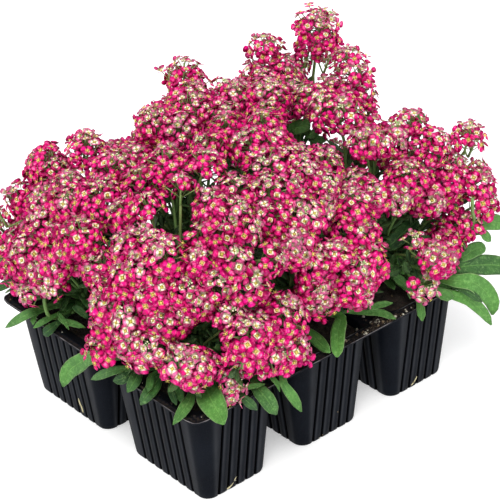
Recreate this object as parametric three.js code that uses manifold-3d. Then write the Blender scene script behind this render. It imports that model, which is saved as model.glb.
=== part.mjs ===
// Six-cell nursery pack of sweet alyssum in full bloom, millimetres, +Z up.
// A black thermoformed cell pack (2 x 3 tapered cells hanging from one flat
// flange) holds six soil plugs. Each plug carries one plant: a branched crown
// of stems, a skirt of leaves, and six groups of domed flower heads.
//
// Tray coordinates used below: X along the three-cell side, Y along the
// two-cell side, the flange corner at X = Y = 0, the resting plane at Z = 0.
// The finished group is shifted so that the middle of its footprint is the
// origin.

import * as THREE from 'three';
import { mergeVertices } from 'three/addons/utils/BufferGeometryUtils.js';
import Module from 'manifold-3d';

const wasm = await Module();
wasm.setup();

// ---------------------------------------------------------------- dimensions
const PITCH_X = 60;          // cell pitch along the three-cell side
const PITCH_Y = 78.3;        // cell pitch along the two-cell side
const CELLS_X = 3;
const CELLS_Y = 2;
const RIM_Z = 54.3;          // top face of the flange
const FLANGE_T = 1.2;        // flange thickness
const FLANGE_R = 6.3;        // corner radius of the flange outline
const MARGIN_X = 5.1;        // flange edge to the cell wall, along X
const MARGIN_Y = 4.3;        // flange edge to the cell wall, along Y
const TAPER = 5.9;           // how far each wall leans in by the bottom
const TOP_R = 10.2;          // corner radius of a cell at the flange
const BOTTOM_R = 5.9;        // corner radius of a cell at the bottom
const WALL = 1.1;            // wall thickness of a cell
const FLOOR = 1.1;           // thickness of a cell's bottom
const DRAIN_R = 4.0;         // radius of the drain hole
const RIB_DEPTH = 0.6;       // depth of the grooves between the wall ribs
const GAP = 0.35;            // clearance between neighbouring pieces
const SOIL_DROP = 4.0;       // soil level below the top of the flange
const CROWN_R = 3.4;         // radius of a plant's woody crown
const STEM_R = 1.25;         // radius of a main stem
const COLLAR_IN = 4.3;       // leaf collar around the crown
const COLLAR_OUT = 8.0;
const LEAF_T = 1.1;          // leaf thickness at the midrib
const HEAD_FLOOR = RIM_Z + 4.2; // no flower head reaches lower than this

const SOIL_Z = RIM_Z - SOIL_DROP;
const TRAY_X = PITCH_X * CELLS_X;
const TRAY_Y = PITCH_Y * CELLS_Y;

// ------------------------------------------------------------------- finishes
const plastic = (c = 0x16181b) => new THREE.MeshStandardMaterial({ color: c, roughness: 0.42, metalness: 0 });
const earth = () => new THREE.MeshStandardMaterial({ color: 0x1d140f, roughness: 1, metalness: 0 });
const stemGreen = () => new THREE.MeshStandardMaterial({ color: 0x4c7a35, roughness: 0.7, metalness: 0 });
const leafGreen = () => new THREE.MeshStandardMaterial({ color: 0x3f8a35, roughness: 0.55, metalness: 0 });
const rose = () => new THREE.MeshStandardMaterial({ color: 0xd31465, roughness: 0.65, metalness: 0 });

// -------------------------------------------------------------- solid helpers
function closedVolume(pos, idx) {
  let v = 0;
  for (let i = 0; i < idx.length; i += 3) {
    const [a, b, c] = [idx[i] * 3, idx[i + 1] * 3, idx[i + 2] * 3];
    v += pos[a] * (pos[b + 1] * pos[c + 2] - pos[b + 2] * pos[c + 1])
       - pos[a + 1] * (pos[b] * pos[c + 2] - pos[b + 2] * pos[c])
       + pos[a + 2] * (pos[b] * pos[c + 1] - pos[b + 1] * pos[c]);
  }
  return v / 6;
}

function solid(geometry) {
  let g = geometry.clone();
  g.deleteAttribute('normal');
  g.deleteAttribute('uv');
  g = mergeVertices(g, 1e-4);
  const pos = g.attributes.position.array;
  const src = g.index.array;
  const idx = [];
  for (let i = 0; i < src.length; i += 3) {
    const [a, b, c] = [src[i], src[i + 1], src[i + 2]];
    if (a !== b && b !== c && c !== a) idx.push(a, b, c);
  }
  if (closedVolume(pos, idx) < 0) for (let i = 0; i < idx.length; i += 3) [idx[i + 1], idx[i + 2]] = [idx[i + 2], idx[i + 1]];
  return new wasm.Manifold(new wasm.Mesh({ numProp: 3, vertProperties: new Float32Array(pos), triVerts: new Uint32Array(idx) }));
}

function toGeometry(m) {
  const mesh = m.getMesh();
  const g = new THREE.BufferGeometry();
  g.setAttribute('position', new THREE.BufferAttribute(new Float32Array(mesh.vertProperties), 3));
  g.setIndex(new THREE.BufferAttribute(new Uint32Array(mesh.triVerts), 1));
  return g;
}

// Keeps only the biggest connected body of a cut solid.
function mainBody(m) {
  const { vertProperties, triVerts } = m.getMesh();
  const g0 = new THREE.BufferGeometry();
  g0.setAttribute('position', new THREE.BufferAttribute(new Float32Array(vertProperties), 3));
  g0.setIndex(new THREE.BufferAttribute(new Uint32Array(triVerts), 1));
  const g = mergeVertices(g0, 1e-5);
  const pos = g.attributes.position.array;
  const idx = g.index.array;
  const parent = Array.from({ length: pos.length / 3 }, (_, i) => i);
  const root = (i) => { while (parent[i] !== i) { parent[i] = parent[parent[i]]; i = parent[i]; } return i; };
  for (let i = 0; i < idx.length; i += 3) {
    parent[root(idx[i])] = root(idx[i + 1]);
    parent[root(idx[i + 1])] = root(idx[i + 2]);
  }
  const parts = new Map();
  for (let i = 0; i < idx.length; i += 3) {
    const r = root(idx[i]);
    if (!parts.has(r)) parts.set(r, []);
    parts.get(r).push(idx[i], idx[i + 1], idx[i + 2]);
  }
  let best = null;
  let size = -Infinity;
  for (const tris of parts.values()) {
    const v = closedVolume(pos, tris);
    if (v > size) { size = v; best = tris; }
  }
  const out = new THREE.BufferGeometry();
  out.setAttribute('position', new THREE.BufferAttribute(pos, 3));
  out.setIndex(best);
  return solid(out.toNonIndexed());
}

// Closed skin through a stack of rings that all have the same point count.
function loft(rings) {
  const n = rings[0].length;
  const pos = [];
  for (const ring of rings) for (const p of ring) pos.push(p[0], p[1], p[2]);
  const idx = [];
  for (let k = 0; k + 1 < rings.length; k++) {
    for (let i = 0; i < n; i++) {
      const a = k * n + i;
      const b = k * n + ((i + 1) % n);
      idx.push(a, b, b + n, a, b + n, a + n);
    }
  }
  const cap = (k, flip) => {
    const c = pos.length / 3;
    const mid = rings[k].reduce((s, p) => [s[0] + p[0] / n, s[1] + p[1] / n, s[2] + p[2] / n], [0, 0, 0]);
    pos.push(...mid);
    for (let i = 0; i < n; i++) {
      const a = k * n + i;
      const b = k * n + ((i + 1) % n);
      if (flip) idx.push(c, b, a); else idx.push(c, a, b);
    }
  };
  cap(0, true);
  cap(rings.length - 1, false);
  const g = new THREE.BufferGeometry();
  g.setAttribute('position', new THREE.BufferAttribute(new Float32Array(pos), 3));
  g.setIndex(idx);
  return g;
}

// Rounded rectangle centred on (cx, cy) at height z.
function roundedRing(cx, cy, hx, hy, r, z, seg = 4) {
  const ring = [];
  for (const [sx, sy, a0] of [[1, -1, -90], [1, 1, 0], [-1, 1, 90], [-1, -1, 180]]) {
    for (let k = 0; k <= seg; k++) {
      const a = THREE.MathUtils.degToRad(a0 + (90 * k) / seg);
      ring.push([cx + sx * (hx - r) + r * Math.cos(a), cy + sy * (hy - r) + r * Math.sin(a), z]);
    }
  }
  return ring;
}

function tube(points, radius, sides = 5, steps = 4) {
  const section = new THREE.Shape(Array.from({ length: sides }, (_, i) =>
    new THREE.Vector2(radius * Math.cos((2 * Math.PI * i) / sides), radius * Math.sin((2 * Math.PI * i) / sides))));
  return new THREE.ExtrudeGeometry(section, {
    steps,
    bevelEnabled: false,
    extrudePath: new THREE.CatmullRomCurve3(points.map((p) => new THREE.Vector3(...p))),
  });
}

function ball([x, y, z, rx, rz], grow = 0, wide = 6, high = 4) {
  const g = new THREE.SphereGeometry(1, wide, high);
  g.rotateX(Math.PI / 2);
  g.rotateZ(x * 0.7 + y);
  g.scale(rx + grow, rx + grow, rz + grow);
  g.translate(x, y, z);
  return g;
}

function boxSolid(x0, x1, y0, y1, z0, z1) {
  const g = new THREE.BoxGeometry(x1 - x0, y1 - y0, z1 - z0);
  g.translate((x0 + x1) / 2, (y0 + y1) / 2, (z0 + z1) / 2);
  return solid(g);
}

const cellCentre = (i, j) => [PITCH_X * (i + 0.5), PITCH_Y * (j + 0.5)];

// Cell section at height z, moved in by `inset` from the outer wall.
function cellRing(i, j, z, inset, seg = 4) {
  const [cx, cy] = cellCentre(i, j);
  const k = (RIM_Z - z) / RIM_Z;
  const lean = TAPER * k;
  const hx = PITCH_X / 2 - MARGIN_X - lean - inset;
  const hy = PITCH_Y / 2 - MARGIN_Y - lean - inset;
  const r = Math.max(1.2, TOP_R + (BOTTOM_R - TOP_R) * k - inset);
  return roundedRing(cx, cy, hx, hy, r, z, seg);
}

// ------------------------------------------------------------------ cell pack
function makeTray() {
  let tray = solid(loft([
    roundedRing(TRAY_X / 2, TRAY_Y / 2, TRAY_X / 2, TRAY_Y / 2, FLANGE_R, RIM_Z - FLANGE_T, 5),
    roundedRing(TRAY_X / 2, TRAY_Y / 2, TRAY_X / 2, TRAY_Y / 2, FLANGE_R, RIM_Z, 5),
  ]));
  for (let j = 0; j < CELLS_Y; j++) {
    for (let i = 0; i < CELLS_X; i++) {
      tray = tray.add(solid(loft([cellRing(i, j, 0, 0), cellRing(i, j, RIM_Z - 0.01, 0)])));
    }
  }
  for (let j = 0; j < CELLS_Y; j++) {
    for (let i = 0; i < CELLS_X; i++) {
      const [cx, cy] = cellCentre(i, j);
      tray = tray.subtract(solid(loft([cellRing(i, j, FLOOR, WALL), cellRing(i, j, RIM_Z + 2, WALL)])));
      const drain = new THREE.CylinderGeometry(DRAIN_R, DRAIN_R, 6, 12);
      drain.rotateX(Math.PI / 2);
      drain.translate(cx, cy, 0);
      tray = tray.subtract(solid(drain));
      // shallow grooves between the wall ribs, on the four sides of the cell
      const hx = PITCH_X / 2 - MARGIN_X;
      const hy = PITCH_Y / 2 - MARGIN_Y;
      for (const u of GROOVES_X) {
        for (const s of [-1, 1]) tray = tray.subtract(groove(cx + u, cy + s * hy, 0, s));
      }
      for (const v of GROOVES_Y) {
        for (const s of [-1, 1]) tray = tray.subtract(groove(cx + s * hx, cy + v, s, 0));
      }
    }
  }
  return tray;
}

// Groove centres measured from the middle of a wall.
const GROOVES_X = [-9.2, -3.6, 2.0, 7.6, 13.2];
const GROOVES_Y = [-18.65, -12.6, -6.55, -0.5, 5.55, 11.6, 17.65];

// A narrow straight channel that follows a leaning wall.
function groove(x, y, nx, ny) {
  const w = 0.7;
  const at = (z) => {
    const lean = TAPER * ((RIM_Z - z) / RIM_Z);
    const px = x - nx * lean;
    const py = y - ny * lean;
    const tx = -ny;
    const ty = nx;
    const o = 1.0;
    const d = -RIB_DEPTH;
    return [[px + tx * w + nx * o, py + ty * w + ny * o, z], [px - tx * w + nx * o, py - ty * w + ny * o, z],
      [px - tx * w + nx * d, py - ty * w + ny * d, z], [px + tx * w + nx * d, py + ty * w + ny * d, z]];
  };
  return solid(loft([at(-1), at(RIM_Z - FLANGE_T - 1.5)]));
}

// The space that the tray takes up, with the clearance around it.
function trayClearance() {
  const flange = (z) => roundedRing(TRAY_X / 2, TRAY_Y / 2, TRAY_X / 2 + GAP, TRAY_Y / 2 + GAP, FLANGE_R + GAP, z, 5);
  let m = solid(loft([flange(RIM_Z - FLANGE_T - GAP), flange(RIM_Z + GAP)]));
  for (let j = 0; j < CELLS_Y; j++) {
    for (let i = 0; i < CELLS_X; i++) m = m.add(solid(loft([cellRing(i, j, 1, -GAP), cellRing(i, j, RIM_Z - 0.01, -GAP)])));
  }
  for (let j = 0; j < CELLS_Y; j++) {
    for (let i = 0; i < CELLS_X; i++) m = m.subtract(solid(loft([cellRing(i, j, 2, WALL + GAP), cellRing(i, j, RIM_Z + 2, WALL + GAP)])));
  }
  return m;
}

// ----------------------------------------------------------------- soil plugs
function makeSoil(i, j) {
  return solid(loft([
    cellRing(i, j, FLOOR + GAP, WALL + GAP, 3),
    cellRing(i, j, SOIL_Z - 2.5, WALL + GAP, 3),
    cellRing(i, j, SOIL_Z - 0.8, WALL + GAP + 0.8, 3),
    cellRing(i, j, SOIL_Z, WALL + GAP + 3.5, 3),
  ]));
}

// ------------------------------------------------------- flower head layout
// cell: column along X, row along Y. heads: six groups a plant; each dome is
// [x, y, z, horizontal radius, vertical radius], the last one joins the others.
const PLANTS = [
  { cell: [0, 0], heads: [
    [[13.7, 7.3, 91.1, 16, 18.2], [15.2, 0.7, 61.2, 16, 19.1], [2.8, 12.9, 75.7, 14.2, 17.1], [10.9, 6.7, 74, 8, 8]],
    [[46.2, 26.6, 134.5, 16, 16.4], [41, 10.3, 116.2, 16, 19.2], [22.6, 27.1, 118.1, 16, 20.5], [36.6, 21.3, 120.9, 8, 8]],
    [[48.1, -2.3, 101.9, 15.5, 16.3], [30.6, -1.8, 87.4, 14.7, 20], [45.4, -9.6, 72, 16, 20.4], [41.6, -4.7, 84.9, 8, 8.5]],
    [[26.4, 55.5, 135.3, 10.5, 10.5], [48.2, 47.1, 141.6, 15, 11.9], [40.7, 72.6, 141, 14.6, 12.4], [39.7, 58.6, 137.7, 9, 8]],
    [[-3.6, 67.9, 100.7, 16, 18.4], [11.3, 71, 124.1, 13.8, 15.2], [7.2, 47.9, 117.6, 16, 16.3], [4.7, 61.9, 111.7, 8, 8]],
    [[3.9, 30.2, 102.3, 13.7, 19.7], [-7.9, 51.9, 83, 15.5, 22], [-6.6, 33.1, 76.8, 15.3, 17], [-3.8, 38.7, 84.8, 8, 8]],
  ] },
  { cell: [1, 0], heads: [
    [[68.7, 24, 136.9, 10.5, 10.5], [80.1, 33.7, 141.3, 13.9, 10.9], [80.4, 16.9, 132.4, 10.5, 10.5], [76.8, 25.7, 135.3, 8, 8]],
    [[61.9, 1.1, 114.2, 10.7, 10.7], [67.6, 9.8, 125.2, 14.3, 13.5], [71.7, -2.8, 106.2, 10.5, 10.5], [67.1, 3.4, 114.3, 8, 8]],
    [[77.8, -4.7, 102, 15, 16.7], [81.8, -10.7, 80.4, 16, 14.1], [102.3, -7.8, 93.5, 15.3, 17.2], [87.3, -7.8, 89.8, 8.2, 8]],
    [[93.4, 9.5, 125.5, 13.8, 14.2], [99.8, 27.3, 138.2, 15.8, 13.2], [105.6, 3.4, 117.7, 12.5, 15.4], [99.4, 14.4, 126, 8, 8]],
    [[107.8, 68.2, 143.9, 15.3, 11.9], [87.9, 76.5, 145.7, 10.5, 10.5], [102.6, 47.5, 144.1, 10.5, 10.5], [100.6, 64.6, 142.5, 12.7, 8]],
    [[63, 64.2, 145, 10.5, 10.5], [77.4, 49.6, 144.3, 10.5, 10.5], [88.5, 46.2, 144.1, 10.5, 10.5], [76.3, 53.3, 142.5, 12.4, 8]],
  ] },
  { cell: [2, 0], heads: [
    [[120.9, 9.9, 124.6, 13.4, 15.4], [128.3, 38.8, 140, 16, 13.7], [144.7, 18.2, 127, 14.4, 15.4], [131.4, 23.2, 129, 11, 8]],
    [[136.6, -9.2, 76.6, 13.2, 21.8], [152.5, -2.3, 86, 12.2, 19.9], [139.1, 2.3, 109.4, 14.7, 13.1], [142.4, -2.9, 89.5, 8, 12.7]],
    [[189.1, 0.1, 90.1, 12.7, 16.6], [168.1, 1.8, 57.2, 15.5, 12], [176.6, 10.4, 75.4, 16, 15.9], [177.2, 4.5, 71.2, 8, 11.2]],
    [[173, 36.3, 128.9, 10.5, 10.5], [183.6, 16.4, 116.2, 14.7, 18.8], [168.9, 19, 102.5, 15.3, 19.5], [175.3, 22.5, 112.3, 9.2, 10.4]],
    [[180.3, 55.8, 104.7, 16, 18.1], [190.1, 61.5, 75.5, 15.6, 19.3], [185.6, 37.5, 83.1, 12.4, 18.7], [185.2, 52.7, 86.3, 9.6, 9.2]],
    [[142.4, 74.7, 139.2, 14.9, 13.8], [167.5, 70, 144.2, 15, 15.5], [154.7, 48.9, 130.6, 16, 13.1], [154.9, 64.2, 135.8, 9.6, 8]],
  ] },
  { cell: [0, 1], heads: [
    [[-1.8, 89.9, 105.5, 12.1, 16.1], [-0.8, 113.1, 103.7, 12.5, 16.8], [-9, 97.5, 83.3, 14.8, 13.6], [-4.2, 100.1, 94.6, 8, 8]],
    [[39.7, 93.1, 140.5, 15.4, 12.5], [17.2, 96.5, 128.8, 16, 14.3], [11.3, 118.6, 119.8, 12.9, 15.2], [23.3, 101.8, 128.2, 14.8, 8]],
    [[56.3, 162.9, 93, 12.8, 16.8], [37.7, 155.3, 106, 10.5, 10.5], [50.6, 167.9, 63.5, 10.5, 10.5], [48.8, 162.1, 85.9, 8.3, 20.1]],
    [[46.2, 139, 125.5, 13.5, 15.8], [23.4, 144.6, 119.3, 14.1, 13], [31.6, 123.9, 131.7, 15.1, 15.9], [33.5, 135.5, 123.6, 8, 8]],
    [[21.3, 155.9, 89.1, 10.5, 10.5], [32.4, 163, 76.4, 10.5, 10.5], [16, 157.2, 65.8, 10.5, 10.5], [23.2, 158.7, 75.1, 8, 8]],
    [[-6.1, 133.9, 66.3, 16, 14], [1.3, 130.3, 91.1, 12.2, 15.6], [5.3, 146.2, 97.7, 12.5, 20.1], [-0.4, 136.6, 81.4, 8, 11.5]],
  ] },
  { cell: [1, 1], heads: [
    [[89.5, 100.3, 145.1, 10.5, 10.5], [75.4, 113.4, 137, 10.5, 10.5], [65.6, 93.7, 145, 15.4, 11], [75.3, 101.3, 140.7, 9.4, 8]],
    [[110.7, 97.7, 145, 10.5, 10.5], [105.7, 117.1, 139.3, 15.2, 12.9], [98.8, 86.9, 140.3, 10.5, 10.5], [105.1, 102.7, 139.2, 12.3, 8]],
    [[92.4, 128, 139.7, 10.5, 10.5], [92.6, 145, 114.9, 11.3, 13.9], [110.3, 141.2, 134.9, 13.5, 19.1], [99.3, 138.5, 127.9, 8, 9.5]],
    [[102.6, 168.5, 74.2, 10.5, 10.5], [106.3, 159.6, 103, 10.5, 10.5], [117.3, 166.6, 77.4, 10.5, 10.5], [108.8, 164.9, 82.8, 8, 13.9]],
    [[75.2, 167, 78.4, 10.5, 10.5], [88.6, 161.9, 94.7, 10.5, 10.5], [81.9, 164.5, 84.5, 8, 8]],
    [[64.6, 145.6, 115.1, 12.4, 15.8], [61.3, 154.3, 100.6, 10.5, 10.5], [78.3, 146.6, 112.1, 12.4, 15.4], [68.4, 148.5, 107.7, 8, 8]],
  ] },
  { cell: [2, 1], heads: [
    [[123.9, 106.4, 139, 10.5, 10.5], [124.2, 84.9, 144.5, 10.5, 10.5], [141.7, 98, 134.6, 15.4, 10.8], [131.5, 96.6, 136.7, 9.1, 8]],
    [[170.8, 92.8, 159.3, 14.1, 13.1], [162.2, 101.5, 146.2, 14.5, 18.7], [163.3, 87.4, 137.2, 10.5, 10.5], [165.6, 94.6, 146.5, 8, 8]],
    [[174.5, 95.2, 112.8, 15.7, 15.5], [190.7, 88.7, 75.5, 13.2, 20.1], [186.1, 106.2, 91.2, 16, 17.4], [183.4, 97.2, 92.1, 8, 12.5]],
    [[187.8, 124.2, 66, 13.1, 20.2], [169.7, 152.5, 65.7, 16, 13.5], [176.9, 136.4, 89.7, 15.4, 11.7], [177.5, 138.6, 72.1, 11.8, 10.9]],
    [[170.8, 117.7, 114, 14.4, 14.6], [147.2, 121.7, 143.4, 12.8, 16.5], [155.9, 132, 124.2, 15.4, 13.2], [158.3, 124.1, 124.5, 8, 10.3]],
    [[132, 165, 80.4, 16, 22], [154.5, 148.9, 99.2, 15.7, 16.9], [129.9, 145.9, 112.5, 16, 17.3], [138.7, 153.3, 95.4, 9.3, 8.2]],
  ] },
];

// --------------------------------------------------------------- flower heads
// Each head group is a few overlapping domes.
function headSolid(domes, grow) {
  let m = null;
  domes.forEach((d, n) => {
    const last = n === domes.length - 1;
    const s = solid(ball(d, grow, last ? 5 : 6, last ? 3 : 4));
    m = m ? m.add(s) : s;
  });
  return m;
}

const near = (a, b) => {
  const p = a.boundingBox();
  const q = b.boundingBox();
  for (let k = 0; k < 3; k++) if (p.min[k] > q.max[k] || q.min[k] > p.max[k]) return false;
  return true;
};

// --------------------------------------------------------------------- leaves
// [direction in degrees, length out, rise at the middle, height of the tip
//  above the flange, half width]: a leaf leaves the collar, rises, and arches.
// outer leaves pass over the flange and hang beside the cell.
function leafGeometry(cx, cy, spec) {
  const { x, y, z, w, over } = spec;       // tip point and half width
  const dx = x - cx;
  const dy = y - cy;
  const len = Math.hypot(dx, dy);
  const ux = dx / len;
  const uy = dy / len;
  const start = 6.0;
  const pts = [
    [cx + ux * start, cy + uy * start, SOIL_Z + 1.9],
    [cx + ux * (start + 5), cy + uy * (start + 5), RIM_Z + 1.0],
  ];
  if (over) {
    pts.push([cx + ux * over * 0.6, cy + uy * over * 0.6, RIM_Z + 2.4]);
    pts.push([cx + ux * over, cy + uy * over, RIM_Z + 2.5]);
  } else {
    pts.push([cx + dx * 0.62, cy + dy * 0.62, (RIM_Z + z) / 2 + 3]);
  }
  pts.push([x, y, z]);
  const curve = new THREE.CatmullRomCurve3(pts.map((p) => new THREE.Vector3(...p)), false, 'centripetal');
  const side = new THREE.Vector3(-uy, ux, 0);
  const N = 6;
  const widths = [0.34, 0.4, 0.66, 0.96, 1.0, 0.7, 0.12];
  const rings = [];
  for (let k = 0; k <= N; k++) {
    const p = curve.getPointAt(k / N);
    const t = curve.getTangentAt(k / N);
    const n = new THREE.Vector3().crossVectors(t, side).normalize();
    const hw = w * widths[k];
    const ht = (LEAF_T / 2) * (k === N ? 0.5 : 1);
    const at = (a, b) => [p.x + side.x * a + n.x * b, p.y + side.y * a + n.y * b, p.z + side.z * a + n.z * b];
    rings.push([at(hw, 0), at(0, ht), at(-hw, 0), at(0, -ht)]);
  }
  return loft(rings);
}

function makeLeaves(i, j, specs) {
  const [cx, cy] = cellCentre(i, j);
  const z0 = SOIL_Z + GAP;
  const z1 = SOIL_Z + 3.4;
  const collar = new THREE.LatheGeometry([
    new THREE.Vector2(COLLAR_IN, z0), new THREE.Vector2(COLLAR_OUT, z0),
    new THREE.Vector2(COLLAR_OUT, z1 - 0.8), new THREE.Vector2(COLLAR_IN, z1), new THREE.Vector2(COLLAR_IN, z0),
  ], 12);
  collar.rotateX(Math.PI / 2);
  collar.scale(1, 1, 1);
  collar.translate(cx, cy, 0);
  let m = solid(collar);
  for (const s of specs) m = m.add(solid(leafGeometry(cx, cy, s)));
  return m;
}

// Leaf tips of each plant: x, y, z of the tip, half width, and for a leaf that
// crosses the flange the distance from the crown at which it has cleared it.
const LEAVES = {
  '00': [
    { x: -7.0, y: 92.2, z: 36.4, w: 5.5, over: 53.9 },
    { x: -6.0, y: 69.5, z: 49.8, w: 4.5, over: 40.8 },
    { x: -5.0, y: 43.7, z: 55.2, w: 4.0, over: 31.7 },
    { x: -6.0, y: 31.1, z: 54.6, w: 3.6, over: 32.2 },
    { x: -6.0, y: 7.5, z: 55.4, w: 4.0, over: 41.4 },
    { x: 10.8, y: -6.0, z: 55.0, w: 8.0, over: 44.0 },
    { x: 42.6, y: -6.0, z: 44.1, w: 4.5, over: 42.1 },
    { x: 55.5, y: -8.0, z: 40.3, w: 4.5, over: 46.0 },
    { x: 42.0, y: 59.9, z: 70.3, w: 4.0 },
    { x: 19.0, y: 58.2, z: 66.3, w: 4.0 },
  ],
  '10': [
    { x: 79.8, y: -3.0, z: 58.9, w: 5.0, over: 41.8 },
    { x: 80.6, y: -7.0, z: 58.2, w: 5.5, over: 41.5 },
    { x: 121.7, y: -3.0, z: 58.9, w: 4.5, over: 50.5 },
    { x: 98.2, y: 61.7, z: 72.3, w: 4.0 },
    { x: 75.9, y: 56.0, z: 68.3, w: 4.0 },
    { x: 107.3, y: 49.1, z: 66.3, w: 4.0 },
  ],
  '20': [
    { x: 137.7, y: -6.0, z: 51.9, w: 3.6, over: 42.1 },
    { x: 187.0, y: -6.5, z: 33.9, w: 8.0, over: 49.1 },
    { x: 197.0, y: 42.4, z: 62.3, w: 8.5, over: 31.6 },
    { x: 196.7, y: 58.0, z: 68.3, w: 8.0, over: 33.9 },
    { x: 184.7, y: 12.0, z: 56.3, w: 6.0, over: 39.6 },
    { x: 134.7, y: 52.0, z: 68.3, w: 4.0 },
    { x: 142.5, y: 18.5, z: 64.3, w: 4.0 },
  ],
  '01': [
    { x: -9.0, y: 137.1, z: 49.6, w: 5.0, over: 35.1 },
    { x: -4.0, y: 120.0, z: 54.5, w: 3.6, over: 31.6 },
    { x: -3.0, y: 112.4, z: 52.9, w: 4.0, over: 31.8 },
    { x: 42.0, y: 96.7, z: 68.3, w: 4.0 },
    { x: 50.7, y: 125.0, z: 70.3, w: 4.0 },
    { x: 4.9, y: 160.9, z: 50.3, w: 5.0, over: 46.7 },
    { x: 38.1, y: 163.5, z: 48.3, w: 5.0, over: 41.3 },
  ],
  '11': [
    { x: 107.0, y: 164.1, z: 49.3, w: 5.5, over: 43.2 },
    { x: 73.7, y: 162.2, z: 56.3, w: 5.0, over: 43.2 },
    { x: 69.3, y: 109.9, z: 68.3, w: 4.0 },
    { x: 106.9, y: 103.3, z: 70.3, w: 4.0 },
    { x: 102.0, y: 96.7, z: 64.3, w: 4.0 },
  ],
  '21': [
    { x: 176.1, y: 162.7, z: 56.3, w: 5.0, over: 46.7 },
    { x: 141.7, y: 164.5, z: 48.3, w: 5.5, over: 41.3 },
    { x: 188.9, y: 124.3, z: 52.3, w: 6.0, over: 32.0 },
    { x: 184.9, y: 141.9, z: 58.3, w: 5.0, over: 38.1 },
    { x: 128.3, y: 113.6, z: 70.3, w: 4.0 },
    { x: 142.5, y: 96.8, z: 66.3, w: 4.0 },
  ],
};

// ---------------------------------------------------------------------- stems
function makeStems(i, j, groups, grow) {
  const [cx, cy] = cellCentre(i, j);
  const z0 = SOIL_Z + GAP - (grow ? 1 : 0);
  const crown = new THREE.CylinderGeometry(CROWN_R * 0.85 + grow, CROWN_R + grow, 9 + grow, 7);
  crown.rotateX(Math.PI / 2);
  crown.translate(cx, cy, z0 + (9 + grow) / 2);
  let m = solid(crown);
  for (const domes of groups) {
    const [x, y, z] = domes[domes.length - 1];
    const top = [x, y, z];
    const mid = [cx + (x - cx) * 0.42, cy + (y - cy) * 0.42, SOIL_Z + 8 + (z - SOIL_Z) * 0.4];
    const low = [cx + (x - cx) * 0.12, cy + (y - cy) * 0.12, SOIL_Z + 9];
    m = m.add(solid(tube([[cx, cy, SOIL_Z + 5], low, mid, top], STEM_R + grow)));
  }
  return m;
}

// ------------------------------------------------------------------- assembly
const object = new THREE.Group();
function place(name, m, material) {
  const mesh = new THREE.Mesh(toGeometry(m), material);
  mesh.name = name;
  object.add(mesh);
}

place('cell_pack', makeTray(), plastic());

const floorCut = boxSolid(-200, 400, -200, 400, -50, HEAD_FLOOR);
const heads = [];
for (const plant of PLANTS) {
  plant.heads.forEach((domes, n) => {
    heads.push({ plant, n, domes, raw: headSolid(domes, 0).subtract(floorCut), big: headSolid(domes, GAP).subtract(floorCut) });
  });
}
heads.forEach((h, k) => {
  let m = h.raw;
  for (let q = 0; q < k; q++) if (near(m, heads[q].big)) m = m.subtract(heads[q].big);
  h.done = mainBody(m);
});

const trayRoom = trayClearance();
for (const plant of PLANTS) {
  const [i, j] = plant.cell;
  const id = `plant_${'front rear'.split(' ')[j]}_${'left middle right'.split(' ')[i]}`;
  place(`soil_${'front rear'.split(' ')[j]}_${'left middle right'.split(' ')[i]}`, makeSoil(i, j), earth());
  let stems = makeStems(i, j, plant.heads, 0);
  for (const h of heads) if (near(stems, h.big)) stems = stems.subtract(h.big);
  place(`${id}_stems`, mainBody(stems), stemGreen());
  let leaves = makeLeaves(i, j, LEAVES[`${i}${j}`]);
  leaves = leaves.subtract(makeStems(i, j, plant.heads, GAP)).subtract(trayRoom);
  for (const h of heads) if (near(leaves, h.big)) leaves = leaves.subtract(h.big);
  place(`${id}_leaves`, mainBody(leaves), leafGreen());
  for (const h of heads) if (h.plant === plant) place(`${id}_flowers_${h.n + 1}`, h.done, rose());
}

// ----------------------------------------------- origin under the footprint
object.updateMatrixWorld(true);
const bounds = new THREE.Box3().setFromObject(object, true);
const group = new THREE.Group();
object.position.set(-(bounds.min.x + bounds.max.x) / 2, -(bounds.min.y + bounds.max.y) / 2, -bounds.min.z);
group.add(object);
group.updateMatrixWorld(true);

export default group;
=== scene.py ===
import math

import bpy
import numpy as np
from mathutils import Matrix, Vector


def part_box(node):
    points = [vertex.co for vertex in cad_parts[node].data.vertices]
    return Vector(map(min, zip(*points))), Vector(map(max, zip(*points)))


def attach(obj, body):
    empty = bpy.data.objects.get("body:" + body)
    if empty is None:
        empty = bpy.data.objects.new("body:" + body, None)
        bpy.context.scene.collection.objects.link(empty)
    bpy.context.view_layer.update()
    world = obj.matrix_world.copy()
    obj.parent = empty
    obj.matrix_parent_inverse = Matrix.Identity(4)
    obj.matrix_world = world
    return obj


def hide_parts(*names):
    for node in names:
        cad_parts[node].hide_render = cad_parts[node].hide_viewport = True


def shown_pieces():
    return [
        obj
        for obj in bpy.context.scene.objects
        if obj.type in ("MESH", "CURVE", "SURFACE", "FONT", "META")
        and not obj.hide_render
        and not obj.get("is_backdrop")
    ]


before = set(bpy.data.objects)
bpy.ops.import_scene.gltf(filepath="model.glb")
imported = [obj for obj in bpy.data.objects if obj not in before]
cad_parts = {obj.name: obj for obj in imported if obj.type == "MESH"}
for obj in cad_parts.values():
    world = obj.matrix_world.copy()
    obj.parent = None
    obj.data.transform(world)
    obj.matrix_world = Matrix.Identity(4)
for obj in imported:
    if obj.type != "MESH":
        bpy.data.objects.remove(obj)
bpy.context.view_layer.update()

# Looks for a six-cell nursery pack of sweet alyssum in full bloom.
# Every shape below is built in tray coordinates, in millimetres: X along the
# three-cell side, Y along the two-cell side, the flange corner at X = Y = 0,
# the resting plane at Z = 0. Build.make() turns them into the frame's metres.

pack_lo, pack_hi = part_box("cell_pack")
ORIGIN = np.array([pack_lo.x, pack_lo.y, 0.0])

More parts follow.
